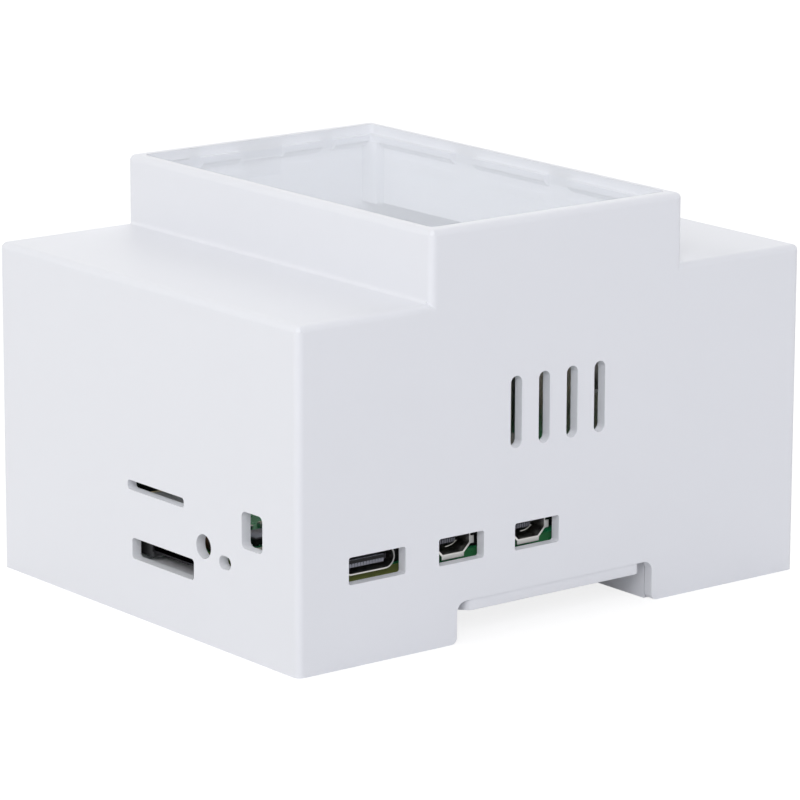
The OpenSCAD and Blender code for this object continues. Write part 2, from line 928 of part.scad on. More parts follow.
// Side-pressed button: a body with a pocket, and the plunger that slides in it
module power_button_body() {
    pocket_l = plunger_inside + button_travel + plunger_play;
    pocket_w = plunger_w + 2 * plunger_play;
    pocket_h = plunger_h + 2 * plunger_play;
    color(brown_plastic)
        on_board(button_inset, button_y)
            difference() {
                translate([0, -button_size.y / 2, 0]) cube(button_size);
                translate([-over, -pocket_w / 2, button_z - pocket_h / 2])
                    cube([pocket_l + over, pocket_w, pocket_h]);
            }
}

module power_button_plunger() {
    color(brown_plastic)
        on_board(-plunger_reach, button_y)
            translate([0, -plunger_w / 2, button_z - plunger_h / 2])
                cube([plunger_reach + button_inset + plunger_inside, plunger_w, plunger_h]);
}

module status_light() {
    color([0.75, 0.9, 0.55])
        on_board(status_inset, light_y) translate([0, -status_size.y / 2, 0]) cube(status_size);
}

// Ribbon connector: a long body with a slot, under a latch that lifts
module ribbon_connector(x, y, l) {
    body_l = l - 2 * (latch_leg_t + latch_play);
    color(black_plastic)
        on_board(x, y)
            difference() {
                plinth(ribbon_w, body_l, ribbon_body_h);
                translate([0, 0, ribbon_body_h / 3])
                    plinth(ribbon_slot_w, body_l - 2 * latch_leg_t, ribbon_body_h);
            }
}

module ribbon_latch(x, y, l) {
    latch_z = ribbon_body_h + latch_play;
    leg_y = l / 2 - latch_leg_t;
    color(cream_plastic)
        on_board(x, y) {
            difference() {
                translate([0, 0, latch_z]) plinth(ribbon_w, l, latch_h);
                translate([0, 0, latch_z - over])
                    plinth(ribbon_slot_w, l - 4 * latch_leg_t - 2 * latch_play, latch_h + 2 * over);
            }
            for (s = [0, 1]) mirror([0, s, 0])
                translate([-ribbon_w / 4, leg_y, latch_z - latch_leg_h])
                    cube([ribbon_w / 2, latch_leg_t, latch_leg_h + eps]);
        }
}

module side_ribbon_connector() {
    ribbon_connector(side_ribbon_x, side_ribbon_y, side_ribbon_l);
}

module side_ribbon_latch() {
    ribbon_latch(side_ribbon_x, side_ribbon_y, side_ribbon_l);
}

module ribbon_connector_left() {
    ribbon_connector(ribbon_left_x, ribbon_y, ribbon_l);
}

module ribbon_latch_left() {
    ribbon_latch(ribbon_left_x, ribbon_y, ribbon_l);
}

module ribbon_connector_right() {
    ribbon_connector(ribbon_right_x, ribbon_y, ribbon_l);
}

module ribbon_latch_right() {
    ribbon_latch(ribbon_right_x, ribbon_y, ribbon_l);
}

// Network jack

// Mouth of the jack: the plug's opening with the slot for its tab, and the two light windows
module jack_mouth(grow) {
    translate([-plug_w / 2 - grow, plug_z - grow]) square([plug_w + 2 * grow, plug_h + 2 * grow]);
    translate([-tab_w / 2 - grow, plug_z - tab_h - grow]) square([tab_w + 2 * grow, tab_h + 2 * grow]);
}

module light_windows() {
    for (s = [-1, 1])
        translate([s * (network_w / 2 - sheet_t - light_edge - light_w / 2), light_rise + light_h / 2])
            square([light_w, light_h], center = true);
}

module network_jack_shell() {
    inner_w = network_w - 2 * sheet_t;
    inner_h = network_h - sheet_t;
    color(nickel)
        difference() {
            at_end(network_y, network_depth)
                difference() {
                    translate([0, -network_w / 2, 0]) cube([network_depth, network_w, network_h]);
                    translate([sheet_t, -inner_w / 2, -over])
                        cube([network_depth - 2 * sheet_t, inner_w, inner_h + over]);
                    translate([network_depth - over, 0, 0])
                        along_x(2 * over) {
                            jack_mouth(jack_mouth_play);
                            light_windows();
                        }
                }
            screw_room();
        }
}

module network_jack_insert() {
    inner_w = network_w - 2 * sheet_t;
    inner_h = network_h - sheet_t;
    body_l = network_depth - 2 * sheet_t;
    color(black_plastic)
        difference() {
            at_end(network_y, network_depth)
                difference() {
                    translate([sheet_t, -inner_w / 2, 0]) cube([body_l, inner_w, inner_h]);
                    translate([network_depth - sheet_t - plug_depth, 0, 0])
                        along_x(plug_depth + over) jack_mouth(0);
                    translate([network_depth - sheet_t - light_w, 0, 0])
                        along_x(light_w + over) light_windows();
                }
            screw_room();
        }
}

// Contact wires that slope down from the roof of the plug's opening
module network_jack_contacts() {
    back_x = network_depth - sheet_t - plug_depth;
    roof = plug_z + plug_h;
    tip = roof - contact_drop;
    color(gold)
        at_end(network_y, network_depth)
            for (i = [0 : contact_n - 1])
                translate([0, (i - (contact_n - 1) / 2) * contact_pitch - contact_w / 2, 0])
                    along_y(contact_w)
                        polygon([
                            [back_x + contact_root, roof],
                            [back_x + contact_root - contact_t, roof],
                            [back_x + contact_tip, tip],
                            [back_x + contact_tip, tip - contact_t],
                            [back_x + contact_tip + contact_t, tip - contact_t],
                            [back_x + contact_root, roof - contact_t]
                        ]);
}

module network_jack_lights() {
    colours = [[0.85, 0.55, 0.15], [0.25, 0.65, 0.30]];
    at_end(network_y, network_depth)
        for (i = [0, 1])
            color(colours[i])
                translate([network_depth - sheet_t - light_w, 0, 0])
                    along_x(light_w + sheet_t / 2)
                        intersection() {
                            light_windows();
                            translate([i == 0 ? -network_w : 0, 0]) square([network_w, network_h]);
                        }
}

// Stacked data sockets: a metal block with two mouths, and a tongue in each
module data_shell(y) {
    color(nickel)
        difference() {
            at_end(y, data_depth)
                difference() {
                    translate([0, -data_w / 2, 0]) cube([data_depth, data_w, data_h]);
                    for (z = data_port_zs)
                        translate([data_depth - data_port_depth, -data_port_w / 2, z])
                            cube([data_port_depth + over, data_port_w, data_port_h]);
                }
            screw_room();
        }
}

module data_tongues(y, tint) {
    plate_t = 1.2;
    tongue_gap = 0.9;
    tongue_rise = data_port_h - tongue_h - tongue_gap;
    color(tint)
        at_end(y, data_depth)
            for (z = data_port_zs)
                translate([data_depth - data_port_depth, 0, z]) {
                    translate([0, -data_port_w / 2, 0]) cube([plate_t, data_port_w, data_port_h]);
                    translate([plate_t - eps, -tongue_w / 2, tongue_rise])
                        cube([tongue_l, tongue_w, tongue_h]);
                }
}

module data_stack_front_shell() {
    data_shell(data_front_y);
}

module data_stack_front_tongues() {
    data_tongues(data_front_y, [0.10, 0.25, 0.62]);
}

module data_stack_back_shell() {
    data_shell(data_back_y);
}

module data_stack_back_tongues() {
    data_tongues(data_back_y, black_plastic);
}

// Pin header along the back edge
module pin_header_body() {
    color(black_plastic)
        on_board(header_x, back_hole_y)
            plinth(header_columns * header_pitch, header_rows * header_pitch, header_h);
}

module pin_header_pins() {
    color(gold)
        on_board(header_x, back_hole_y)
            for (i = [0 : header_columns - 1], j = [0 : header_rows - 1])
                translate([
                    (i - (header_columns - 1) / 2) * header_pitch,
                    (j - (header_rows - 1) / 2) * header_pitch,
                    header_h
                ])
                    plinth(pin_w, pin_w, pin_h - header_h);
}

// Chips

module processor_base() {
    color([0.05, 0.25, 0.16])
        on_board(processor_at.x, processor_at.y) plinth(processor_w, processor_w, processor_base_h);
}

module processor_lid() {
    lid_inset = 1;
    lid_w = processor_w - 2 * lid_inset;
    lid_h = 1.3;
    lid_r = 1.2;
    color(nickel)
        on_board(processor_at.x, processor_at.y)
            translate([0, 0, processor_base_h]) linear_extrude(lid_h) rounded_rect(lid_w, lid_w, lid_r);
}

module chip(at, size) {
    color(black_plastic) on_board(at.x, at.y) plinth(size.x, size.y, size.z);
}

module memory_chip() {
    chip(memory_at, memory_size);
}

module io_chip() {
    chip(io_at, io_size);
}

module network_chip() {
    chip(network_chip_at, network_chip_size);
}

module power_chip() {
    chip(power_chip_at, power_chip_size);
}

module radio_shield() {
    can_r = 0.6;
    color(nickel)
        on_board(radio_at.x, radio_at.y)
            linear_extrude(radio_size.z) rounded_rect(radio_size.x, radio_size.y, can_r);
}

module power_inductors() {
    side = 3;
    tall = 2;
    corner_r = 0.4;
    color([0.28, 0.28, 0.29])
        for (x = inductor_xs, y = inductor_ys)
            on_board(x, y) linear_extrude(tall) rounded_rect(side, side, corner_r);
}

module board_capacitors() {
    size = capacitor_size;
    color([0.20, 0.20, 0.21])
        for (i = [0 : capacitor_n - 1])
            on_board(capacitor_x + i * capacitor_pitch, capacitor_y) plinth(size.x, size.y, size.z);
}

// Small cable connectors with an open top
module cable_connector(at, size) {
    h = 4;
    skin = 0.6;
    color(cream_plastic)
        on_board(at.x, at.y)
            difference() {
                plinth(size.x, size.y, h);
                translate([0, 0, skin]) plinth(size.x - 2 * skin, size.y - 2 * skin, h);
            }
}

module fan_connector() {
    cable_connector(fan_at, fan_size);
}

module battery_connector() {
    cable_connector(battery_at, battery_size);
}

module serial_connector() {
    cable_connector(serial_at, serial_size);
}

// Four pins for power over the network lead
module extra_power_header() {
    columns = 2;
    on_board(extra_power_at.x, extra_power_at.y) {
        color(black_plastic) plinth(columns * header_pitch, columns * header_pitch, header_h);
        color(gold)
            for (sx = [-1, 1], sy = [-1, 1])
                translate([sx * header_pitch / 2, sy * header_pitch / 2, header_h - eps])
                    plinth(pin_w, pin_w, pin_h - header_h);
    }
}

cover_shell();
window_panel();
rail_base();
rail_clip();
clip_spring();
board_screws();
circuit_board();
power_socket_shell();
power_socket_insert();
video_socket_left_shell();
video_socket_left_insert();
video_socket_right_shell();
video_socket_right_insert();
card_socket();
power_button_body();
power_button_plunger();
status_light();
side_ribbon_connector();
side_ribbon_latch();
ribbon_connector_left();
ribbon_latch_left();
ribbon_connector_right();
ribbon_latch_right();
network_jack_shell();
network_jack_insert();
network_jack_contacts();
network_jack_lights();
data_stack_front_shell();
data_stack_front_tongues();
data_stack_back_shell();
data_stack_back_tongues();
pin_header_body();
pin_header_pins();
processor_base();
processor_lid();
memory_chip();
io_chip();
network_chip();
power_chip();
radio_shield();
power_inductors();
board_capacitors();
fan_connector();
battery_connector();
serial_connector();
extra_power_header();
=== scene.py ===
"""Rail-mount case for a single-board computer: finishes, fine parts and a studio set round the CAD frame."""

import json
import math

import bpy
from bpy.props import FloatProperty, FloatVectorProperty, IntProperty, PointerProperty
from mathutils import Matrix, Vector


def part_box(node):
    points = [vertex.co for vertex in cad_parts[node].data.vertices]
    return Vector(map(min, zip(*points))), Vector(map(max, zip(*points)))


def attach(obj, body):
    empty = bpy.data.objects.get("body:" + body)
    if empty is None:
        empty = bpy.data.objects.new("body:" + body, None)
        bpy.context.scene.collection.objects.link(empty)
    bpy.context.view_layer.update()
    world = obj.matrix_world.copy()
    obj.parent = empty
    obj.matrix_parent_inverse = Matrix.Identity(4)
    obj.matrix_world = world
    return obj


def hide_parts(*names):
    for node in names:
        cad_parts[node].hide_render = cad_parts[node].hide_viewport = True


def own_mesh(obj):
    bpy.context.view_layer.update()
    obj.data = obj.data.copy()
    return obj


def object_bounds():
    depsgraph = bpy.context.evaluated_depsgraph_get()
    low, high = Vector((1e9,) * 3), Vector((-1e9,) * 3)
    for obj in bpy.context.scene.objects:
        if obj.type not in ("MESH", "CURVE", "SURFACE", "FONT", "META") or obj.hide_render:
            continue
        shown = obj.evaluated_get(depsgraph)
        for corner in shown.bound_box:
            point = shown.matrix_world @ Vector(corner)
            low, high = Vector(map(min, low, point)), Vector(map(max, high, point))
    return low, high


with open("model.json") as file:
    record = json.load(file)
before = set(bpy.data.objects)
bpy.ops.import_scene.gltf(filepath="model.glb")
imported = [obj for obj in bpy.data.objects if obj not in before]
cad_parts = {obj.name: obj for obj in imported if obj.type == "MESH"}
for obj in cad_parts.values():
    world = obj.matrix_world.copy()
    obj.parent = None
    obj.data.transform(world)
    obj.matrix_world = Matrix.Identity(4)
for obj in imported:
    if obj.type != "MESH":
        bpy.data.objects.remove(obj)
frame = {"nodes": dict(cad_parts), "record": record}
CAD_LOW, CAD_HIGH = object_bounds()

bl_info = {
    "name": "Rail Case Dresser",
    "version": (1, 0, 0),
    "blender": (4, 5, 0),
    "location": "3D View > Sidebar > Rail Case",
    "description": "Finishes a rail-mount computer case, fits its board with small parts and sets the studio",
    "category": "Object",
}

MM = 0.001
TINY = 0.01 * MM  # slack when faces and edges are picked by their place
WELD = 0.001 * MM  # points nearer than this are one point
ALONG = 0.9  # cosine past which a direction counts as running along an axis
SMOOTH_ANGLE = math.radians(35)
ORIGIN = (0, 0, 0)
NODES = frame["nodes"]
BOARD_LOW, BOARD_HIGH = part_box("circuit_board")
BOARD_TOP = BOARD_HIGH.z
SCREW_HEAD = 2.3 * MM  # radius of a board screw's head
CELL_CORNER = 0.42 * MM  # cut corner of a pin header's cell
PIN_TIP = 0.7 * MM  # length of a header pin's point

# Lowest and highest corners of the parts that have no CAD node
# The first is a dark block under the board by the card slot: painted shade, not a real part
PAINTED_SHADE_BLOCK = Vector((-42.3, 1.75, 8.2)) * MM, Vector((-37.3, 6.75, 10.7)) * MM
AMBER_CAPACITOR = Vector((-42.2, -11.7, 12.2)) * MM, Vector((-40.2, -9.7, 14.1)) * MM
DRIVER = Vector((-36.0 * MM, -13.8 * MM, BOARD_TOP)), Vector((-31.6 * MM, -9.4 * MM, BOARD_TOP + 1.0 * MM))
DRIVER_PLATE = DRIVER[0] + Vector((0.3, 0.3, 0.95)) * MM, DRIVER[1] + Vector((-0.3, -0.3, 0.1)) * MM


def mm(*sizes):
    """Sizes in millimetres, in metres."""
    return [size * MM for size in sizes]


COLOUR = {"subtype": "COLOR", "min": 0, "max": 1}  # options of a colour setting


class CasePlasticSettings(bpy.types.PropertyGroup):
    """Finish of the moulded case"""

    white: FloatVectorProperty(
        name="White plastic", description="Colour of the cover, the base and the clip",
        default=(0.815, 0.822, 0.855), **COLOUR)
    clear: FloatVectorProperty(
        name="Clear plastic", description="Tint of the window panel",
        default=(0.76, 0.79, 0.93), **COLOUR)
    haze: FloatProperty(
        name="Haze", description="Share of the light that each face of the window holds back",
        default=0.03, min=0, max=1)
    gloss: FloatProperty(
        name="Roughness", description="Roughness of the moulded faces", default=0.42, min=0, max=1)
    grain: FloatProperty(
        name="Grain", description="Size of the fine grain left by the mould",
        default=0.35 * MM, unit="LENGTH", min=0.01 * MM)


class BoardSettings(bpy.types.PropertyGroup):
    """Finish of the circuit board"""

    mask: FloatVectorProperty(
        name="Mask", description="Colour of the lacquer on the board",
        default=(0.018, 0.28, 0.105), **COLOUR)
    core: FloatVectorProperty(
        name="Core", description="Colour of the board's cut edges",
        default=(0.2, 0.225, 0.065), **COLOUR)
    part_pitch: FloatProperty(
        name="Part pitch", description="Distance between neighbouring small parts",
        default=2.1 * MM, unit="LENGTH", min=1.9 * MM)
    trace: FloatProperty(
        name="Trace pitch", description="Distance between the copper tracks",
        default=0.6 * MM, unit="LENGTH", min=0.1 * MM)


class SpringSettings(bpy.types.PropertyGroup):
    """Wire of the clip's spring"""

    wire: FloatProperty(
        name="Wire", description="Diameter of the spring wire", default=0.4 * MM, unit="LENGTH", min=0.1 * MM)
    turns: IntProperty(name="Turns", description="Number of turns of the spring", default=9, min=2)


class StageSettings(bpy.types.PropertyGroup):
    """Camera, floor and lamps"""

    eye: FloatVectorProperty(
        name="Camera place", description="Where the camera stands",
        default=(-0.3998, -0.5073, 0.1809), subtype="TRANSLATION", unit="LENGTH")
    target: FloatVectorProperty(
        name="Camera target", description="Point that the camera looks at",
        default=(0.0, 0.0, 0.0292), subtype="TRANSLATION", unit="LENGTH")
    roll: FloatProperty(
        name="Camera roll", description="Turn about the line of sight", default=math.radians(0.19), subtype="ANGLE")
    lens: FloatProperty(
        name="Focal length", description="Focal length of the camera in millimetres", default=207.36, min=1)
    shift: FloatVectorProperty(
        name="Lens shift", description="Sideways and upward shift of the frame", size=2, default=(0.0011, -0.0351))
    floor_half: FloatProperty(
        name="Floor", description="Half the width of the floor", default=4.0, unit="LENGTH", min=0.5)
    ambient: FloatProperty(
        name="Room light", description="Strength of the even light from all sides", default=0.4, min=0)
    left: FloatProperty(name="Left lamp", description="Power of the lamp on the card side", default=3.55, min=0)
    front: FloatProperty(name="Front lamp", description="Power of the lamp on the port side", default=1.5, min=0)
    fill: FloatProperty(name="Fill lamp", description="Power of the lamp beside the camera", default=4.6, min=0)
    back: FloatProperty(name="Back lamp", description="Power of the lamp behind the far end", default=5.0, min=0)
    top: FloatProperty(name="Top lamp", description="Power of the lamp overhead", default=1.2, min=0)


# Materials

def shader_tree(name):
    """Returns a new material with its node tree and its main shader."""
    material = bpy.data.materials.new(name)
    material.use_nodes = True
    tree = material.node_tree
    return material, tree, tree.nodes["Principled BSDF"]


def plug(socket, value):
    """Links an input to another node's output, or sets its value; a plain colour gets its alpha."""
    if isinstance(value, bpy.types.NodeSocket):
        socket.id_data.links.new(value, socket)
    else:
        socket.default_value = (*value, 1) if socket.type == "RGBA" else value


def feed(node, *places, **names):
    """Plugs a node's inputs, by place or by name with _ for a space, and returns its first output."""
    for socket, value in zip(node.inputs, places):
        plug(socket, value)
    for name, value in names.items():
        plug(node.inputs[name.replace("_", " ")], value)
    return next(iter(node.outputs), None)


def add_node(tree, kind, *places, **names):
    """Adds a shader node and feeds its inputs."""
    return feed(tree.nodes.new("ShaderNode" + kind), *places, **names)


def math_node(tree, operation, *values):
    """Adds a Math node on values or links."""
    node = tree.nodes.new("ShaderNodeMath")
    node.operation = operation
    return feed(node, *values)


def object_place(tree):
    """The place in object space."""
    return tree.nodes.new("ShaderNodeTexCoord").outputs["Object"]


def object_noise(tree, size, stretch=(1, 1, 1), detail=3.0):
    """Adds noise in object space whose features are about the given size, in metres."""
    mapped = add_node(tree, "Mapping", Vector=object_place(tree), Scale=stretch)
    return add_node(tree, "TexNoise", Vector=mapped, Scale=1 / size, Detail=detail)


def remap(tree, value, low, high, start=0.0, end=1.0):
    """Spreads a value, from 0 to 1 unless told otherwise, over a range."""
    return add_node(tree, "MapRange", Value=value, From_Min=start, From_Max=end, To_Min=low, To_Max=high)


def blend_colours(tree, value, first, second):
    """Mixes two colours by a value."""
    mix = tree.nodes.new("ShaderNodeMix")
    mix.data_type = "RGBA"
    feed(mix, value)
    for socket, colour in zip((s for s in mix.inputs if s.type == "RGBA"), (first, second)):
        plug(socket, colour)
    return next(s for s in mix.outputs if s.type == "RGBA")


def relief(tree, shader, height, depth):
    """Raises the surface by a height map."""
    feed(shader, Normal=add_node(tree, "Bump", Strength=1.0, Distance=depth, Height=height))


def listed_rays(tree, *names):
    """True for the kinds of ray that are named."""
    path = tree.nodes.new("ShaderNodeLightPath")
    total = path.outputs[names[0]]
    for name in names[1:]:
        total = math_node(tree, "MAXIMUM", total, path.outputs[name])
    return total


def part_of(tree, vector, axis):
    """One of a vector's three parts."""
    parts = tree.nodes.new("ShaderNodeSeparateXYZ")
    feed(parts, vector)
    return parts.outputs[axis]


def shaded(colour, amount):
    """Scales a colour."""
    return tuple(min(1.0, channel * amount) for channel in colour)


def finish(name, colour, roughness, grain, depth, metallic=0, cloud=0.03, stretch=(1, 1, 1), **sockets):
    """A moulded, rolled or cast finish: clouded colour, uneven gloss and a fine grain."""
    spread, patch = 0.06, 40  # how far the gloss varies, and a cloud's size in grains
    material, tree, shader = shader_tree(name)
    fine = object_noise(tree, grain, stretch)
    broad = object_noise(tree, grain * patch, detail=2.0)
    tone = blend_colours(tree, broad, shaded(colour, 1 - cloud), shaded(colour, 1 + cloud))
    gloss = remap(tree, fine, max(0, roughness - spread), min(1, roughness + spread))
    feed(shader, Base_Color=tone, Roughness=gloss, Metallic=metallic, **sockets)
    relief(tree, shader, fine, depth)
    return material


def clear_plastic(name, tint, haze):
    """Thin clear sheet: what is behind it shows unbent, with a faint haze and a gloss that grows at a low angle."""
    mirror, head_on, steepness = (0.92, 0.945, 1.0), 0.04, 4.6
    material, tree, shader = shader_tree(name)
    sheet = feed(shader, Base_Color=tint, Alpha=haze,
                 Roughness=remap(tree, object_noise(tree, 4 * MM), 0.1, 0.2))
    gloss = add_node(tree, "BsdfGlossy", Color=mirror, Roughness=0.05)
    angle = tree.nodes.new("ShaderNodeLayerWeight").outputs["Facing"]
    share = remap(tree, math_node(tree, "POWER", angle, steepness), head_on, 1)
    sheet = add_node(tree, "MixShader", share, sheet, gloss)
    rays = listed_rays(tree, "Is Shadow Ray", "Is Diffuse Ray")
    clear = add_node(tree, "BsdfTransparent")
    feed(tree.nodes["Material Output"], Surface=add_node(tree, "MixShader", rays, sheet, clear))
    return material


def board_laminate(name, mask, core, pitch):
    """Lacquered board: tracks under the lacquer, which runs over the cut edges but at one end."""
    bare, covered = mm(-26, -23)  # the lacquer on the edges starts between these places
    material, tree, shader = shader_tree(name)
    place = object_place(tree)
    tracks = add_node(tree, "TexBrick", Vector=place, Scale=1 / pitch, Color1=(0, 0, 0),
                      Color2=(0.25, 0.25, 0.25), Mortar=(1, 1, 1), Mortar_Size=0.12, Brick_Width=7.0,
                      Row_Height=0.8)
    islands = remap(tree, object_noise(tree, 6 * MM, detail=0.0), -1.4, 2.4)
    copper = math_node(tree, "MULTIPLY", tracks, islands)
    copper.node.use_clamp = True
    face = blend_colours(tree, copper, mask, shaded(mask, 1.9))
    weave = blend_colours(tree, object_noise(tree, 0.3 * MM, (0.1, 0.1, 1)), shaded(core, 0.7), shaded(core, 1.3))
    run = remap(tree, part_of(tree, place, "X"), 0, 0.85, bare, covered)
    edge = blend_colours(tree, run, weave, shaded(mask, 0.9))
    normal = tree.nodes.new("ShaderNodeNewGeometry").outputs["Normal"]
    upright = remap(tree, math_node(tree, "ABSOLUTE", part_of(tree, normal, "Z")), 1, 0)
    feed(shader, Base_Color=blend_colours(tree, upright, face, edge),
         Roughness=remap(tree, object_noise(tree, 1.5 * MM), 0.22, 0.36))
    relief(tree, shader, copper, 0.02 * MM)
    return material


# Colour, roughness, size and depth of the grain in millimetres, and how metallic it is
PLAIN_FINISHES = {
    "nickel_sheet": ((0.66, 0.65, 0.62), 0.3, 0.08, 0.004, 1),
    "black_plastic": ((0.011, 0.011, 0.013), 0.5, 0.12, 0.006, 0),
    "brown_plastic": ((0.03, 0.019, 0.014), 0.4, 0.1, 0.005, 0),
    "contact_plate": ((0.2, 0.205, 0.24), 0.36, 0.06, 0.003, 0.5),
    "grey_plastic": ((0.27, 0.27, 0.275), 0.45, 0.1, 0.005, 0),
    "amber_resin": ((0.16, 0.085, 0.05), 0.4, 0.1, 0.005, 0),
    "cream_plastic": ((0.72, 0.68, 0.56), 0.42, 0.15, 0.006, 0),
    "blue_plastic": ((0.015, 0.075, 0.36), 0.4, 0.12, 0.006, 0),
    "gold_contact": ((0.83, 0.58, 0.2), 0.24, 0.06, 0.003, 1),
    "spring_steel": ((0.56, 0.56, 0.57), 0.27, 0.05, 0.003, 1),
    # near-black steel for the card socket: painted shade in the card slot
    "dark_steel": ((0.028, 0.028, 0.031), 0.45, 0.08, 0.004, 1),
    "screw_steel": ((0.6, 0.6, 0.6), 0.33, 0.09, 0.005, 1),
    "processor_metal": ((0.57, 0.57, 0.57), 0.38, 0.07, 0.006, 1),
    "chip_carrier": ((0.012, 0.09, 0.045), 0.35, 0.2, 0.008, 0),
    "chip_resin": ((0.022, 0.022, 0.024), 0.58, 0.06, 0.008, 0),
    "ferrite": ((0.07, 0.07, 0.075), 0.5, 0.1, 0.012, 0),
    "capacitor_resin": ((0.03, 0.028, 0.027), 0.5, 0.1, 0.01, 0),
    "status_lens": ((0.72, 0.82, 0.5), 0.25, 0.3, 0.004, 0),
    "jack_lens": ((0.72, 0.62, 0.25), 0.2, 0.4, 0.004, 0),
}
EXTRAS = {"nickel_sheet": {"stretch": (1, 0.12, 1)}, "black_plastic": {"Specular_IOR_Level": 0.2}}


def make_finishes(context):
    """Builds every finish once and returns them by name."""
    plastic, board = context.scene.case_plastic, context.scene.case_board
    made = {
        "white_plastic": finish("white_plastic", plastic.white, plastic.gloss, plastic.grain, 0.006 * MM,
                                cloud=0.006),
        "clear_plastic": clear_plastic("clear_plastic", plastic.clear, plastic.haze),
        "board_laminate": board_laminate("board_laminate", board.mask, board.core, board.trace),
    }
    for name, (colour, roughness, grain, depth, metallic) in PLAIN_FINISHES.items():
        made[name] = finish(name, colour, roughness, *mm(grain, depth), metallic, **EXTRAS.get(name, {}))
    return made


FINISHES = {}


def coat(piece, finish_name):
    """Gives a piece one finish."""
    piece.data.materials.clear()
    piece.data.materials.append(FINISHES[finish_name])


# Finishes that record slots share, and nodes that look unlike their slot
SLOT_LOOKS = {"base_plastic": "white_plastic", "clip_plastic": "white_plastic"}
NODE_LOOKS = {
    # the card socket is coated near black: painted shade inside the card slot
    "card_socket": "dark_steel",
    "side_ribbon_latch": "grey_plastic",
    "ribbon_latch_left": "grey_plastic",
    "ribbon_latch_right": "grey_plastic",
    "battery_connector": "black_plastic",
    "serial_connector": "black_plastic",
}


class CASEKIT_OT_finish_frame(bpy.types.Operator):
    """Gives each CAD piece its finish"""

    bl_idname = "casekit.finish_frame"
    bl_label = "Finish the CAD pieces"

    def execute(self, context):
        FINISHES.update(make_finishes(context))
        for row in frame["record"]["subparts"]:
            node, slot = row["node"], row["material_slot"]
            coat(NODES[node], NODE_LOOKS.get(node, SLOT_LOOKS.get(slot, slot)))
        return {"FINISHED"}


# Modelling

def clear_selection():
    """Leaves edit mode and selects nothing."""
    if bpy.context.object and bpy.context.object.mode != "OBJECT":
        close_edit()
    bpy.ops.object.select_all(action="DESELECT")


def name_active(name):
    """Names the active object and its data."""
    piece = bpy.context.active_object
    piece.name = piece.data.name = name
    return piece


def make_active(piece):
    """Selects one piece alone."""
    clear_selection()
    piece.select_set(True)
    bpy.context.view_layer.objects.active = piece


def open_edit(piece):
    """Opens one piece in edit mode with all of it selected."""
    make_active(piece)
    bpy.ops.object.mode_set(mode="EDIT")
    bpy.ops.mesh.select_mode(type="VERT")
    bpy.ops.mesh.select_all(action="SELECT")


def close_edit():
    """Leaves edit mode."""
    bpy.ops.object.mode_set(mode="OBJECT")


def block(name, low, high, *edges):
    """A cuboid between two corners, with its place in its mesh and, where told how, rounded edges."""
    low, high = Vector(low), Vector(high)
    clear_selection()
    bpy.ops.mesh.primitive_cube_add(size=1)
    piece = name_active(name)
    bpy.ops.object.mode_set(mode="EDIT")
    bpy.ops.transform.resize(value=high - low, center_override=ORIGIN)
    bpy.ops.transform.translate(value=(low + high) / 2)
    close_edit()
    if edges:
        round_edges(piece, *edges)
    return piece


def rod(name, x, y, bottom, top, radius, sides):
    """An upright round bar, with its place in its mesh."""
    clear_selection()
    bpy.ops.mesh.primitive_cylinder_add(vertices=sides, radius=radius, depth=top - bottom)
    piece = name_active(name)
    bpy.ops.object.mode_set(mode="EDIT")
    bpy.ops.transform.translate(value=(x, y, (bottom + top) / 2))
    close_edit()
    return piece


def pick(piece, kind, test):
    """Opens a piece in edit mode with the faces or edges selected whose middle and direction pass a test."""
    open_edit(piece)
    bpy.ops.mesh.select_mode(type=kind)
    bpy.ops.mesh.select_all(action="DESELECT")
    close_edit()
    mesh = piece.data
    if kind == "FACE":
        for face in mesh.polygons:
            face.select = test(face.center, face.normal)
    else:
        for edge in mesh.edges:
            start, end = (mesh.vertices[v].co for v in edge.vertices)
            edge.select = test((start + end) / 2, (end - start).normalized())
    bpy.ops.object.mode_set(mode="EDIT")


def round_edges(piece, width, steps=2, test=lambda middle, along: True):
    """Bevels the edges that pass a test."""
    pick(piece, "EDGE", test)
    bpy.ops.mesh.bevel(offset=width, segments=steps, affect="EDGES")
    close_edit()


def draw_out(piece, test, move, scale=(1, 1, 1), centre=ORIGIN, inset=0):
    """Extrudes the faces that pass a test, after an inset if there is one, and scales their new ends about a point."""
    pick(piece, "FACE", test)
    if inset:
        bpy.ops.mesh.inset(thickness=inset, depth=0)
    bpy.ops.mesh.extrude_region_move(TRANSFORM_OT_translate={"value": move})
    bpy.ops.transform.resize(value=scale, center_override=centre)
    close_edit()


def repeat(piece, count, step, weld=False):
    """Copies a piece's mesh in a row."""
    make_active(piece)
    row = piece.modifiers.new("row", "ARRAY")
    row.count = count
    row.use_relative_offset = False
    row.use_constant_offset = True
    row.constant_offset_displace = step
    row.use_merge_vertices = weld
    row.merge_threshold = WELD
    bpy.ops.object.modifier_apply(modifier=row.name)


def copy_of(piece, move):
    """A moved copy of a piece, with its own mesh."""
    make_active(piece)
    bpy.ops.object.duplicate(linked=False)
    twin = bpy.context.active_object
    open_edit(twin)
    bpy.ops.transform.translate(value=move)
    close_edit()
    return twin


def mirrored(piece, axis, centre):
    """Turns a piece over across a plane, faces outwards."""
    open_edit(piece)
    bpy.ops.transform.resize(value=[-1 if k == axis else 1 for k in range(3)], center_override=centre)
    bpy.ops.mesh.normals_make_consistent(inside=False)
    close_edit()
    return piece


def merge(name, pieces):
    """Joins pieces into one mesh."""
    make_active(pieces[0])
    for piece in pieces:
        piece.select_set(True)
    bpy.ops.object.join()
    return name_active(name)


def carve(piece, cutter):
    """Cuts one piece out of another."""
    make_active(piece)
    cut = piece.modifiers.new("cut", "BOOLEAN")
    cut.operation = "DIFFERENCE"
    cut.solver = "EXACT"
    cut.object = cutter
    bpy.ops.object.modifier_apply(modifier=cut.name)
    bpy.data.objects.remove(cutter)


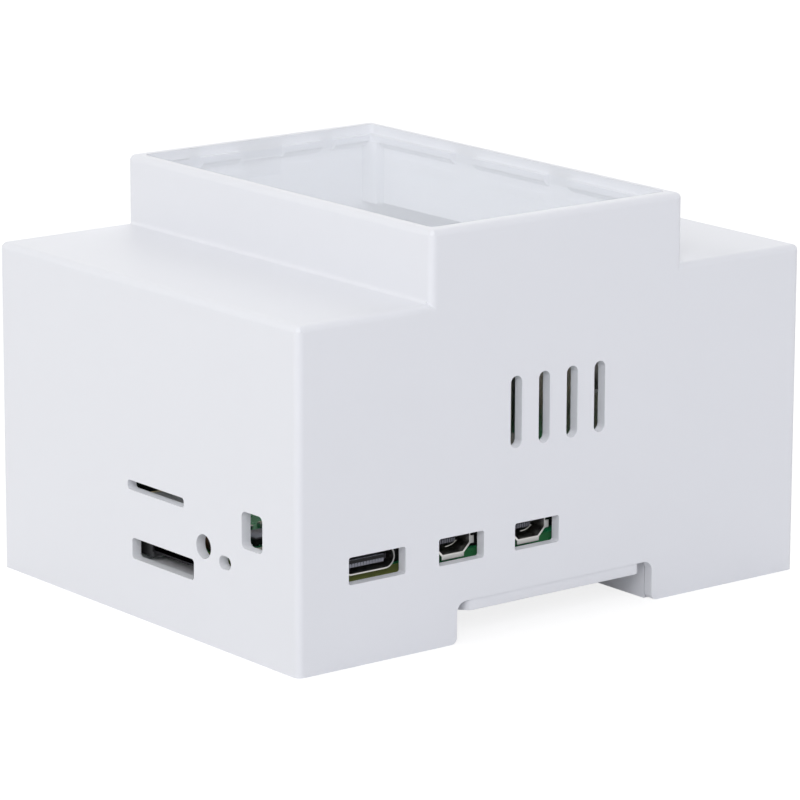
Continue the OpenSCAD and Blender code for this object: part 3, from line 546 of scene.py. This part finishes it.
def fit(piece, slot, *nodes, body="case", look=None):
    """Finishes a piece, puts it on its body and lets it stand for CAD nodes."""
    coat(piece, look or slot)
    make_active(piece)
    bpy.ops.object.shade_smooth_by_angle(angle=SMOOTH_ANGLE)
    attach(piece, body)
    if nodes:
        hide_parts(*nodes)


def facing(axis, sign=1):
    """A test for the faces that look along an axis."""
    return lambda middle, normal: normal[axis] * sign > ALONG


def lying(axis):
    """A test for the edges that run along an axis."""
    return lambda middle, along: abs(along[axis]) > ALONG


def above(level):
    """A test for the edges that lie above a level."""
    return lambda middle, along: middle.z > level


def along_axis(axis, length):
    """A move along one axis."""
    return [length if k == axis else 0 for k in range(3)]


def at_corners(piece, low, high, size):
    """Copies the mesh in the first corner of a box into the other three."""
    repeat(piece, 2, (high.x - low.x - size, 0, 0))
    repeat(piece, 2, (0, high.y - low.y - size, 0))


def post(name, low, high, tip):
    """A square pin whose end is pointed."""
    low, high = Vector(low), Vector(high)
    pin = block(name, low, (high.x, high.y, high.z - tip))
    middle = (low + high) / 2
    draw_out(pin, facing(2), (0, 0, tip), (0.35, 0.35, 1), (middle.x, middle.y, high.z))
    return pin


def pin_grid(name, start, width, top, pitch, columns):
    """Two rows of pointed header pins."""
    pins = post(name, start, (start.x + width, start.y + width, top), PIN_TIP)
    repeat(pins, columns, (pitch, 0, 0))
    repeat(pins, 2, (0, pitch, 0))
    return pins


class CASEKIT_OT_seat_lips(bpy.types.Operator):
    """Brings both ends of the base's seat pad out to the faces of the cover"""

    bl_idname = "casekit.seat_lips"
    bl_label = "Seat lips"

    def execute(self, context):
        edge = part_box("rail_base")[0].y
        half, bottom, top = mm(15.8, 4.25, 5.84)
        reach, root, corner, ease = mm(1.45, 1.0, 1.2, 0.15)
        lip = block("seat_lips", (-half, edge - reach, bottom), (half, edge + root, top),
                    corner, 6, lambda middle, along: abs(along.z) > ALONG and middle.y < edge)
        round_edges(lip, ease, 3, lambda middle, along: middle.z < bottom + TINY and middle.y < edge)
        twin = mirrored(copy_of(lip, ORIGIN), 1, ORIGIN)
        fit(merge("seat_lips", [lip, twin]), "base_plastic", look="white_plastic")
        return {"FINISHED"}


class CASEKIT_OT_pin_header(bpy.types.Operator):
    """Models the long pin header, cell by cell, and its pointed pins"""

    bl_idname = "casekit.pin_header"
    bl_label = "Pin header"

    def execute(self, context):
        low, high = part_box("pin_header_body")
        rim = 0.12 * MM
        pitch = (high.y - low.y) / 2
        columns = round((high.x - low.x) / pitch)
        housing = block("pin_header_housing", low, (low.x + pitch, high.y, high.z), CELL_CORNER, 1, lying(2))
        pick(housing, "FACE", lambda middle, normal: abs(normal.x) > ALONG)
        bpy.ops.mesh.delete(type="FACE")
        close_edit()
        repeat(housing, columns, (pitch, 0, 0), weld=True)
        open_edit(housing)
        bpy.ops.mesh.fill_holes(sides=0)
        close_edit()
        round_edges(housing, rim, 1, above(high.z - TINY))
        fit(housing, "black_plastic", "pin_header_body")
        low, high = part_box("pin_header_pins")
        width = high.y - low.y - pitch
        pins = pin_grid("pin_header_posts", low, width, high.z, pitch, columns)
        fit(pins, "gold_contact", "pin_header_pins")
        return {"FINISHED"}


class CASEKIT_OT_extra_header(bpy.types.Operator):
    """Models the small four-pin header"""

    bl_idname = "casekit.extra_header"
    bl_label = "Four-pin header"

    def execute(self, context):
        low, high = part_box("extra_power_header")
        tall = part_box("pin_header_body")[1].z
        width = 0.64 * MM
        pitch = (high.y - low.y) / 2
        housing = block("extra_header_housing", low, (low.x + pitch, high.y, tall), CELL_CORNER, 1, lying(2))
        repeat(housing, 2, (pitch, 0, 0))
        fit(housing, "black_plastic", "extra_power_header")
        start = Vector((low.x + pitch / 2 - width / 2, low.y + pitch / 2 - width / 2, tall))
        fit(pin_grid("extra_header_posts", start, width, high.z, pitch, 2), "nickel_sheet")
        return {"FINISHED"}


class CASEKIT_OT_screws(bpy.types.Operator):
    """Models the four domed screws with a cross recess"""

    bl_idname = "casekit.screws"
    bl_label = "Board screws"

    def execute(self, context):
        low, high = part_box("board_screws")
        x, y = low.x + SCREW_HEAD, low.y + SCREW_HEAD
        shank, dome, depth, over = mm(1.1, 0.75, 0.9, 0.2)
        arm = mm(1.3, 0.32)  # half the length and half the width of a recess
        screw = rod("board_screw_set", x, y, BOARD_TOP, high.z, SCREW_HEAD, 40)
        draw_out(screw, facing(2, -1), (0, 0, low.z - BOARD_TOP), inset=SCREW_HEAD - shank)
        round_edges(screw, dome, 5, above(high.z - TINY))
        for along, across in (arm, arm[::-1]):
            cutter = block("recess_cutter", (x - along, y - across, high.z - depth),
                           (x + along, y + across, high.z + over))
            pick(cutter, "FACE", facing(2, -1))
            bpy.ops.transform.resize(value=(0.7, 0.7, 1), center_override=(x, y, high.z - depth))
            close_edit()
            carve(screw, cutter)
        at_corners(screw, low, high, 2 * SCREW_HEAD)
        fit(screw, "screw_steel", "board_screws")
        return {"FINISHED"}


class CASEKIT_OT_spring(bpy.types.Operator):
    """Winds the clip's spring as one wire with closed ends"""

    bl_idname = "casekit.spring"
    bl_label = "Clip spring"

    def execute(self, context):
        wire = context.scene.case_spring.wire / 2
        turns = context.scene.case_spring.turns
        sides, steps = 10, 28  # faces round the wire and along a turn
        low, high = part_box("clip_spring")
        middle = (low + high) / 2
        coil = (high.y - low.y) / 2 - wire
        clear_selection()
        bpy.ops.mesh.primitive_circle_add(vertices=sides, radius=wire)
        spring = name_active("clip_spring_wire")
        bpy.ops.object.mode_set(mode="EDIT")
        bpy.ops.transform.translate(value=(0, coil, 0))
        close_edit()
        wind = spring.modifiers.new("wind", "SCREW")
        wind.axis = "X"
        wind.angle = 2 * math.pi
        wind.iterations = turns
        wind.screw_offset = (high.x - low.x - 2 * wire) / turns
        wind.steps = wind.render_steps = steps
        bpy.ops.object.modifier_apply(modifier=wind.name)
        start = min(v.co.x for v in spring.data.vertices)
        open_edit(spring)
        bpy.ops.mesh.remove_doubles(threshold=WELD)
        bpy.ops.mesh.fill_holes(sides=0)
        bpy.ops.mesh.normals_make_consistent(inside=False)
        bpy.ops.transform.translate(value=(low.x - start, middle.y, middle.z))
        close_edit()
        fit(spring, "spring_steel", "clip_spring")
        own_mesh(spring)
        return {"FINISHED"}


def leaf(name, root, width, runs, rises, thick):
    """A bent spring leaf that runs from its root towards -X, and rises as it goes."""
    x, y, z = root
    spring = block(name, (x - runs[0], y - width / 2, z), (x, y + width / 2, z + thick))
    for run, rise in zip(runs[1:], rises):
        end = min(v.co.x for v in spring.data.vertices)
        draw_out(spring, lambda middle, normal: middle.x < end + WELD, (-run, 0, rise))
    return spring


class CASEKIT_OT_socket_contacts(bpy.types.Operator):
    """Lays the contacts on the tongues of the power and video sockets, and the springs in the video sockets"""

    bl_idname = "casekit.socket_contacts"
    bl_label = "Front socket contacts"

    def execute(self, context):
        # The tongue's middle and half height, the number, pitch, width and ends of the contacts, and how far
        # the under row hangs down and laps the tongue, in millimetres
        video = 14.25, 0.3, 9, 0.4, 0.22, -31.9, -29.0, 0.55, 0.05
        sockets = {"power_socket": (13.8, 0.35, 12, 0.5, 0.44, -33.1, -29.4, 0.35, 0.2),
                   "video_socket_left": video, "video_socket_right": video}
        sunk, proud, ease = 0.02, 0.06, 0.03 * MM
        for name, (level, half, count, pitch, width, front, back, drop, lap) in sockets.items():
            low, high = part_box(f"{name}_shell")
            centre = (low.x + high.x) / 2
            x = centre - ((count - 1) * pitch + width) / 2 * MM
            rows = []
            for bottom, top in ((level + half - sunk, level + half + proud), (level - half - drop, level - half + lap)):
                strip = block("strip", (x, front * MM, bottom * MM), (x + width * MM, back * MM, top * MM),
                              ease, 1, lambda middle, along: middle.y < front * MM + TINY)
                repeat(strip, count, (pitch * MM, 0, 0))
                rows.append(strip)
            fit(merge(f"{name}_contacts", rows), "nickel_sheet", look="contact_plate")
            if name.startswith("video"):
                root = centre + 1.9 * MM, *mm(-29.8, 13.5)
                spring = leaf(f"{name}_spring", root, 4.4 * MM, mm(0.15, 0.25, 0.35, 0.5, 0.7),
                              mm(-0.2, -0.18, -0.14, -0.06), 0.1 * MM)
                fit(spring, "nickel_sheet")
        return {"FINISHED"}


class CASEKIT_OT_data_sockets(bpy.types.Operator):
    """Fits the data stacks with lips, spring leaves and contact strips"""

    bl_idname = "casekit.data_sockets"
    bl_label = "Data socket details"

    def execute(self, context):
        mouths = mm(13.3, 18.9), mm(21.4, 27.0)
        for stack in ("data_stack_front", "data_stack_back"):
            low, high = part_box(f"{stack}_shell")
            middle = (low.y + high.y) / 2
            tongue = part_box(f"{stack}_tongues")[1].x
            lips, leaves, strips = [], [], []
            for bottom, top in mouths:
                lips.append(self.lip(high.x, middle, bottom, top))
                for side in mm(-3.1, 3.1):
                    under = leaf("mouth_leaf", (high.x - 0.4 * MM, middle + side, bottom), 2.1 * MM,
                                 mm(0.6, 2.2, 0.9, 1.6), mm(0.5, 0.0, -0.3), 0.16 * MM)
                    over = mirrored(copy_of(under, ORIGIN), 2, (0, middle, (bottom + top) / 2))
                    leaves += [under, over]
                strips += self.strips(tongue, middle, bottom + 2.8 * MM)
            fit(merge(f"{stack}_lips", lips), "nickel_sheet")
            fit(merge(f"{stack}_leaves", leaves), "nickel_sheet")
            fit(merge(f"{stack}_contacts", strips), "gold_contact")
        return {"FINISHED"}

    def lip(self, face, middle, bottom, top):
        """The rolled lip round one mouth."""
        half, rim, gap, deep, proud, ease = mm(6.5, 0.35, 0.05, 0.3, 0.08, 0.07)
        lip = block("mouth_lip", (face - deep, middle - half - rim, bottom - rim),
                    (face + proud, middle + half + rim, top + rim))
        hole = block("mouth_cutter", (face - MM, middle - half + gap, bottom + gap),
                     (face + MM, middle + half - gap, top - gap), deep, 3, lying(0))
        carve(lip, hole)
        round_edges(lip, ease, 2, lambda place, along: place.x > face + ease)
        return lip

    def strips(self, tongue, middle, level):
        """Four contacts on the underside of one tongue."""
        back, front, half, sunk, proud, ease = mm(6.5, 0.5, 0.5, 0.07, 0.03, 0.06)
        return [block("tongue_strip", (tongue - back, middle + spot - half, level - sunk),
                      (tongue - front, middle + spot + half, level + proud),
                      ease, 1, lambda place, along: place.z < level - ease)
                for spot in mm(-3.5, -1.0, 1.0, 3.5)]


def moulded_chip(name, box, edge, dimple, *nodes, slot="chip_resin"):
    """A chip with eased edges and, if it has one, a round dimple near a corner."""
    low, high = box
    foot, deep, over = mm(0.05, 0.08, 0.2)
    chip = block(name, low, high, edge, 2, above(low.z + foot))
    if dimple:
        carve(chip, rod("dimple_cutter", low.x + 3 * dimple, high.y - 3 * dimple, high.z - deep, high.z + over,
                        dimple, 16))
    fit(chip, slot, *nodes)


class CASEKIT_OT_chips(bpy.types.Operator):
    """Models the chips, the processor's lid, the radio can, the coils, the capacitors, and a dark block of painted
    shade under the board
    """

    bl_idname = "casekit.chips"
    bl_label = "Chips and coils"

    def execute(self, context):
        large, small = mm(0.08, 0.4), mm(0.06, 0.25)  # eased edge and dimple
        for name, node in (("memory_block", "memory_chip"), ("io_block", "io_chip")):
            moulded_chip(name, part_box(node), *large, node)
        for name, node in (("network_block", "network_chip"), ("power_block", "power_chip")):
            moulded_chip(name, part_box(node), *small, node)
            self.lead_rows(f"{name}_leads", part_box(node), 10)
        moulded_chip("driver_block", DRIVER, *small)
        self.lead_rows("driver_block_leads", DRIVER, 7)
        for name, box, slot, look, edge, steps in (
                ("driver_block_plate", DRIVER_PLATE, "nickel_sheet", "contact_plate", 0.05 * MM, 2),
                # a ferrite-dark block under the board: painted shade seen through the card slot
                ("under_coil", PAINTED_SHADE_BLOCK, "ferrite", "ferrite", 0.3 * MM, 3),
                ("amber_capacitor", AMBER_CAPACITOR, "brown_plastic", "amber_resin", 0.15 * MM, 3)):
            fit(block(name, *box, edge, steps), slot, look=look)
        moulded_chip("processor_carrier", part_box("processor_base"), 0.05 * MM, 0, "processor_base", slot="chip_carrier")
        self.lid()
        self.can()
        self.coils()
        self.capacitors()
        return {"FINISHED"}

    def lead_rows(self, name, box, count):
        """Flat leads round the foot of a small chip."""
        low, high = box
        middle = (low + high) / 2
        pitch, wide, out, lap, thick, ease = mm(0.5, 0.24, 0.12, 0.25, 0.16, 0.03)
        rows = []
        for side in (-1, 1):
            for axis, across in ((0, 1), (1, 0)):
                start, size = Vector((0, 0, BOARD_TOP)), Vector((0, 0, thick))
                start[axis] = middle[axis] - (count - 1) * pitch / 2 - wide / 2
                start[across] = low[across] - out if side < 0 else high[across] - lap
                size[axis], size[across] = wide, out + lap
                row = block("lead", start, start + size, ease, 1, lying(2))
                repeat(row, count, along_axis(axis, pitch))
                rows.append(row)
        fit(merge(name, rows), "nickel_sheet")

    def lid(self):
        """The processor's metal lid: a rolled foot and a raised middle."""
        low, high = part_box("processor_lid")
        step, brim, corner, ease = mm(0.5, 1.1, 1.2, 0.1)
        lid = block("processor_cap", low, (high.x, high.y, high.z - step), corner, 4, lying(2))
        draw_out(lid, facing(2), (0, 0, step), (0.97, 0.97, 1), (low + high) / 2, inset=brim)
        round_edges(lid, ease, 2, lambda middle, along: middle.z > low.z + ease and abs(along.z) < 0.5)
        fit(lid, "processor_metal", "processor_lid")

    def can(self):
        """The radio's pressed can with eased edges and two rows of round vents."""
        low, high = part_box("radio_shield")
        corner, ease, inset, depth, radius = mm(0.6, 0.25, 1.6, 0.2, 0.4)
        columns = 4
        can = block("radio_can", low, high, corner, 3, lying(2))
        round_edges(can, ease, 3, above(high.z - TINY))
        holes = rod("vent_cutter", low.x + inset, low.y + inset, high.z - depth, high.z + depth, radius, 14)
        repeat(holes, columns, ((high.x - low.x - 2 * inset) / (columns - 1), 0, 0))
        repeat(holes, 2, (0, high.y - low.y - 2 * inset, 0))
        carve(can, holes)
        fit(can, "nickel_sheet", "radio_shield")

    def feet(self, name, low, wide, deep, steps, inset, out, lap, tall, ease):
        """Metal feet at both ends of a part."""
        foot = block(name, (low.x + inset, low.y - out, BOARD_TOP),
                     (low.x + wide - inset, low.y + lap, BOARD_TOP + tall), ease, steps)
        repeat(foot, 2, (0, deep + out - lap, 0))
        return foot

    def coils(self):
        """Four pressed coils with metal feet."""
        low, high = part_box("power_inductors")
        side, corner, rim = mm(3.0, 0.4, 0.2)
        coil = block("coil_blocks", low, (low.x + side, low.y + side, high.z), corner, 2, lying(2))
        round_edges(coil, rim, 2, above(high.z - TINY))
        foot = self.feet("coil_feet", low, side, side, 2, *mm(0.6, 0.1, 0.15, 0.9, 0.06))
        for piece in (coil, foot):
            at_corners(piece, low, high, side)
        fit(coil, "ferrite", "power_inductors")
        fit(foot, "nickel_sheet")

    def capacitors(self):
        """Five solid capacitors with metal ends."""
        low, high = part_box("board_capacitors")
        count, pitch, rim = 5, 4.6 * MM, 0.2 * MM
        wide = high.x - low.x - (count - 1) * pitch
        cap = block("capacitor_blocks", low, (low.x + wide, high.y, high.z), rim, 2)
        ends = self.feet("capacitor_ends", low, wide, high.y - low.y, 1, *mm(0.5, 0.1, 0.2, 0.8, 0.05))
        for piece in (cap, ends):
            repeat(piece, count, (pitch, 0, 0))
        fit(cap, "capacitor_resin", "board_capacitors")
        fit(ends, "nickel_sheet")


# Nodes that the small parts need not keep clear of, and nodes that they stand round
APART = ("cover_shell", "window_panel", "rail_base", "circuit_board", "board_screws")
RINGED = ("processor_base", "memory_chip", "io_chip", "network_chip", "power_chip", "radio_shield", "power_inductors")
# Straight rows of small parts: the row's Y, its first X and its last X, in millimetres
PART_ROWS = ((-27.2, -27.0, 0.5), (4.6, -22.0, 20.0), (7.2, -22.0, -6.0), (-19.5, -19.0, -1.5), (26.4, -36.0, 20.0),
             (-11.0, -29.6, -24.0), (-8.4, -34.4, -24.0), (-5.8, -34.4, -24.0))


class CASEKIT_OT_board_parts(bpy.types.Operator):
    """Sets the small parts round the chips, and rings the screw holes"""

    bl_idname = "casekit.board_parts"
    bl_label = "Small board parts"

    def execute(self, context):
        pitch = context.scene.case_board.part_pitch
        gap, ring = mm(1.2, 4.8)
        boxes = [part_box(name) for name in NODES if name not in APART] + [DRIVER, AMBER_CAPACITOR]
        self.taken = [(low, high) for low, high in boxes if high.z > BOARD_TOP + TINY]
        low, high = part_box("board_screws")
        for x in (low.x, high.x - ring):
            for y in (low.y, high.y - ring):
                self.taken.append((Vector((x, y, low.z)), Vector((x + ring, y + ring, high.z))))
        spots = []
        for node in RINGED:
            spots += self.ring(node, gap, pitch)
        for y, start, end in PART_ROWS:
            spots += self.line(*mm(y, start, end), 1.35 * pitch)
        self.sow(spots)
        self.hole_rings()
        return {"FINISHED"}

    def is_free(self, x, y):
        """True where a small part stands clear of all the rest."""
        room = 1.15 * MM
        inside = BOARD_LOW.x + room < x < BOARD_HIGH.x - room and BOARD_LOW.y + room < y < BOARD_HIGH.y - room
        return inside and all(x < low.x - room or x > high.x + room or y < low.y - room or y > high.y + room
                              for low, high in self.taken)

    def ring(self, node, gap, pitch):
        """Spots round a chip, each with its direction."""
        low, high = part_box(node)
        spots = []
        for axis in (0, 1):
            count = max(1, int((high[axis] - low[axis]) / pitch))
            first = (low[axis] + high[axis]) / 2 - (count - 1) * pitch / 2
            for k in range(count):
                for edge in (low[1 - axis] - gap, high[1 - axis] + gap):
                    spot = first + k * pitch, edge
                    spots.append((*(spot[::-1] if axis else spot), 1 - axis))
        return spots

    def line(self, y, start, end, pitch):
        """Spots along a line across the board, every third one upright."""
        return [(start + k * pitch, y, k % 3 == 0) for k in range(int((end - start) / pitch) + 1)]

    def sow(self, spots):
        """Puts a part on each free spot: a resistor on every third, a ceramic capacitor on the rest."""
        apart = 1.9 * MM
        slots = {"resistor_bodies": "chip_resin", "ceramic_bodies": "cream_plastic", "small_part_ends": "nickel_sheet"}
        patterns = {(kind, upright): self.pattern(kind, upright) for kind in slots for upright in (0, 1)}
        rows = {kind: [] for kind in slots}
        kept = []
        for k, (x, y, upright) in enumerate(spots):
            near = any(abs(x - a) < apart and abs(y - b) < apart for a, b in kept)
            if near or not self.is_free(x, y):
                continue
            kept.append((x, y))
            for kind in ("ceramic_bodies" if k % 3 else "resistor_bodies", "small_part_ends"):
                rows[kind].append(copy_of(patterns[kind, upright], (x, y, 0)))
        for pattern in patterns.values():
            bpy.data.objects.remove(pattern)
        for kind, slot in slots.items():
            fit(merge(kind, rows[kind]), slot)

    def pattern(self, kind, upright):
        """One small part at the origin."""
        half, wide, end, lap, ease, foot = mm(0.8, 0.4, 0.3, 0.12, 0.05, 0.1)
        if kind == "small_part_ends":
            proud, tall = mm(0.02, 0.55)
            part = block("small_part", (-half, -wide - proud, BOARD_TOP), (end - half, wide + proud, BOARD_TOP + tall),
                         ease, 1)
            repeat(part, 2, (2 * half - end, 0, 0))
        else:
            tall = 0.45 * MM if kind == "resistor_bodies" else 0.7 * MM
            part = block("small_part", (lap - half, -wide, BOARD_TOP), (half - lap, wide, BOARD_TOP + tall),
                         ease, 1, above(BOARD_TOP + foot))
        if upright:
            open_edit(part)
            bpy.ops.transform.rotate(value=math.pi / 2, orient_axis="Z", center_override=ORIGIN)
            close_edit()
        return part

    def hole_rings(self):
        """Gold rings on the board round its four screw holes."""
        low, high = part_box("board_screws")
        sunk, proud, outer, inner = mm(0.02, 0.04, 3.0, 1.4)
        x, y = low.x + SCREW_HEAD, low.y + SCREW_HEAD
        ring = rod("hole_rings", x, y, BOARD_TOP - sunk, BOARD_TOP + proud, outer, 40)
        carve(ring, rod("ring_cutter", x, y, BOARD_TOP - MM, BOARD_TOP + MM, inner, 40))
        at_corners(ring, low, high, 2 * SCREW_HEAD)
        fit(ring, "gold_contact")


class CASEKIT_OT_connectors(bpy.types.Operator):
    """Fits pins in the cable connectors and feet along the ribbon connectors"""

    bl_idname = "casekit.connectors"
    bl_label = "Connector pins"

    def execute(self, context):
        for node, count in (("fan_connector", 4), ("battery_connector", 2), ("serial_connector", 3)):
            self.pins(node, count)
        for node, count in (("side_ribbon_connector", 16), ("ribbon_connector_left", 22),
                            ("ribbon_connector_right", 22)):
            self.feet(node, count)
        return {"FINISHED"}

    def pins(self, node, count):
        """A row of pointed pins along a cable connector."""
        low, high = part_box(node)
        middle = (low + high) / 2
        end, half, clear, tip = mm(1.2, 0.22, 0.5, 0.3)
        axis = 0 if high.x - low.x > high.y - low.y else 1
        span = high[axis] - low[axis] - 2 * end
        start = Vector((middle.x, middle.y, low.z + clear))
        start[axis] -= span / 2
        pins = post(f"{node}_pins", (start.x - half, start.y - half, start.z),
                    (start.x + half, start.y + half, high.z - clear), tip)
        repeat(pins, count, along_axis(axis, span / (count - 1)))
        fit(pins, "gold_contact")

    def feet(self, node, count):
        """Soldered feet along both sides of a ribbon connector."""
        low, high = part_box(node)
        out, lap, end, half, thick, ease = mm(0.45, 0.2, 0.6, 0.12, 0.14, 0.04)
        foot = block(f"{node}_feet", (low.x - out, low.y + end - half, BOARD_TOP),
                     (low.x + lap, low.y + end + half, BOARD_TOP + thick), ease, 1, lying(1))
        twin = copy_of(foot, (high.x - low.x + out - lap, 0, 0))
        feet = merge(f"{node}_feet", [foot, twin])
        repeat(feet, count, (0, (high.y - low.y - 2 * end) / (count - 1), 0))
        fit(feet, "nickel_sheet")


class CASEKIT_OT_button_and_light(bpy.types.Operator):
    """Models the power button's plunger and the status light"""

    bl_idname = "casekit.button_and_light"
    bl_label = "Button and light"

    def execute(self, context):
        low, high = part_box("power_button_plunger")
        nose, dome, corner, clear = mm(0.2, 0.12, 0.06, 0.05)
        plunger = block("button_plunger", low, high, nose, 3, lambda middle, along: middle.x < low.x + TINY)
        fit(plunger, "brown_plastic", "power_button_plunger", body="power_button")
        low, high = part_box("status_light")
        seat = low.z + 0.35 * MM
        lens = block("status_lens_block", (low.x, low.y, seat), high, dome, 3, above(seat + clear))
        fit(lens, "status_lens", "status_light")
        carrier = block("status_light_carrier", low, (high.x, high.y, seat), corner, 2, lying(2))
        fit(carrier, "cream_plastic")
        return {"FINISHED"}


SHOWN = ("Is Camera Ray", "Is Glossy Ray", "Is Transmission Ray")  # rays that show the white background

# Place, width and colour of each lamp; the setting of the same name holds its power
LAMPS = {
    "left": ((-0.95, 0.15, 0.6), 0.7, (1.0, 1.0, 0.985)),
    "front": ((0.15, -1.0, 0.55), 0.7, (0.875, 0.895, 1.0)),
    "fill": ((-0.65, -0.8, 0.7), 0.6, (0.96, 0.97, 1.0)),
    "back": ((0.8, 0.75, 0.6), 0.7, (1.0, 1.0, 1.0)),
    "top": ((0.1, 0.15, 1.1), 0.8, (1.0, 1.0, 1.0)),
}


class CASEKIT_OT_set_stage(bpy.types.Operator):
    """Builds the floor, the lamps, the room light and the camera"""

    bl_idname = "casekit.set_stage"
    bl_label = "Set the stage"

    def execute(self, context):
        stage = context.scene.case_stage
        lay_floor(stage)
        light_room(context.scene, stage)
        centre = Vector((0, 0, CAD_HIGH.z / 2))
        for name, (place, size, colour) in LAMPS.items():
            hang_lamp(f"{name}_lamp", place, centre, size, getattr(stage, name), colour)
        aim_camera(context.scene, stage)
        context.scene.view_settings.view_transform = "Standard"
        return {"FINISHED"}


def lay_floor(stage):
    """A wide pale floor that shows white and keeps a soft shadow."""
    paper, shade, brightness = (0.8, 0.8, 0.81), (0.3, 0.3, 0.3), 0.8
    clear_selection()
    bpy.ops.mesh.primitive_plane_add(size=2 * stage.floor_half)
    floor = name_active("studio_floor")
    material, tree, shader = shader_tree("floor_paper")
    tone = blend_colours(tree, object_noise(tree, 0.4), shaded(paper, 0.99), shaded(paper, 1.01))
    dull = feed(shader, Base_Color=tone, Roughness=0.9, Specular_IOR_Level=0.0)
    white = add_node(tree, "AddShader", add_node(tree, "BsdfDiffuse", Color=shade),
                     add_node(tree, "Emission", Strength=brightness))
    feed(tree.nodes["Material Output"], Surface=add_node(tree, "MixShader", listed_rays(tree, *SHOWN), dull, white))
    floor.data.materials.append(material)


def light_room(scene, stage):
    """Even room light, with a white background for the rays that show it."""
    scene.world = bpy.data.worlds.new("studio_room")
    scene.world.use_nodes = True
    tree = scene.world.node_tree
    room = feed(tree.nodes["Background"], Color=(0.985, 0.99, 1.0), Strength=stage.ambient)
    white = add_node(tree, "Background", Color=(1, 1, 1), Strength=1.0)
    feed(tree.nodes["World Output"], Surface=add_node(tree, "MixShader", listed_rays(tree, *SHOWN), room, white))


def hang_lamp(name, place, target, size, power, colour):
    """A square soft lamp that faces the target and leaves no glare."""
    turn = (target - Vector(place)).to_track_quat("-Z", "Y").to_euler()
    bpy.ops.object.light_add(type="AREA", location=place, rotation=turn)
    lamp = name_active(name)
    lamp.data.size = size
    lamp.data.energy = power
    lamp.data.color = colour
    lamp.visible_glossy = False


def aim_camera(scene, stage):
    """The camera at the picture's angle."""
    eye = Vector(stage.eye)
    look = (Vector(stage.target) - eye).to_track_quat("-Z", "Y").to_matrix().to_4x4()
    turn = look @ Matrix.Rotation(stage.roll, 4, "Z")
    bpy.ops.object.camera_add(location=eye, rotation=turn.to_euler())
    camera = name_active("studio_camera")
    camera.data.sensor_width = 36
    camera.data.lens = stage.lens
    camera.data.shift_x, camera.data.shift_y = stage.shift
    camera.data.clip_start, camera.data.clip_end = 0.01, 20
    scene.camera = camera


class CASEKIT_PT_panel(bpy.types.Panel):
    """Lists the steps in the sidebar"""

    bl_idname = "CASEKIT_PT_panel"
    bl_label = "Rail case"
    bl_space_type = "VIEW_3D"
    bl_region_type = "UI"
    bl_category = "Rail Case"

    def draw(self, context):
        for operator in OPERATORS:
            self.layout.operator(operator.bl_idname)


SETTINGS = {
    "case_plastic": CasePlasticSettings,
    "case_board": BoardSettings,
    "case_spring": SpringSettings,
    "case_stage": StageSettings,
}
OPERATORS = (
    CASEKIT_OT_finish_frame,
    CASEKIT_OT_seat_lips,
    CASEKIT_OT_pin_header,
    CASEKIT_OT_extra_header,
    CASEKIT_OT_screws,
    CASEKIT_OT_spring,
    CASEKIT_OT_socket_contacts,
    CASEKIT_OT_data_sockets,
    CASEKIT_OT_chips,
    CASEKIT_OT_board_parts,
    CASEKIT_OT_connectors,
    CASEKIT_OT_button_and_light,
    CASEKIT_OT_set_stage,
)


def register():
    for group in SETTINGS.values():
        bpy.utils.register_class(group)
    for name, group in SETTINGS.items():
        setattr(bpy.types.Scene, name, PointerProperty(type=group))
    for item in (*OPERATORS, CASEKIT_PT_panel):
        bpy.utils.register_class(item)


def unregister():
    for item in (CASEKIT_PT_panel, *reversed(OPERATORS)):
        bpy.utils.unregister_class(item)
    for name in SETTINGS:
        delattr(bpy.types.Scene, name)
    for group in reversed(SETTINGS.values()):
        bpy.utils.unregister_class(group)


def main():
    register()
    for operator in OPERATORS:
        group, step = operator.bl_idname.split(".")
        getattr(getattr(bpy.ops, group), step)()


if __name__ == "__main__":
    main()
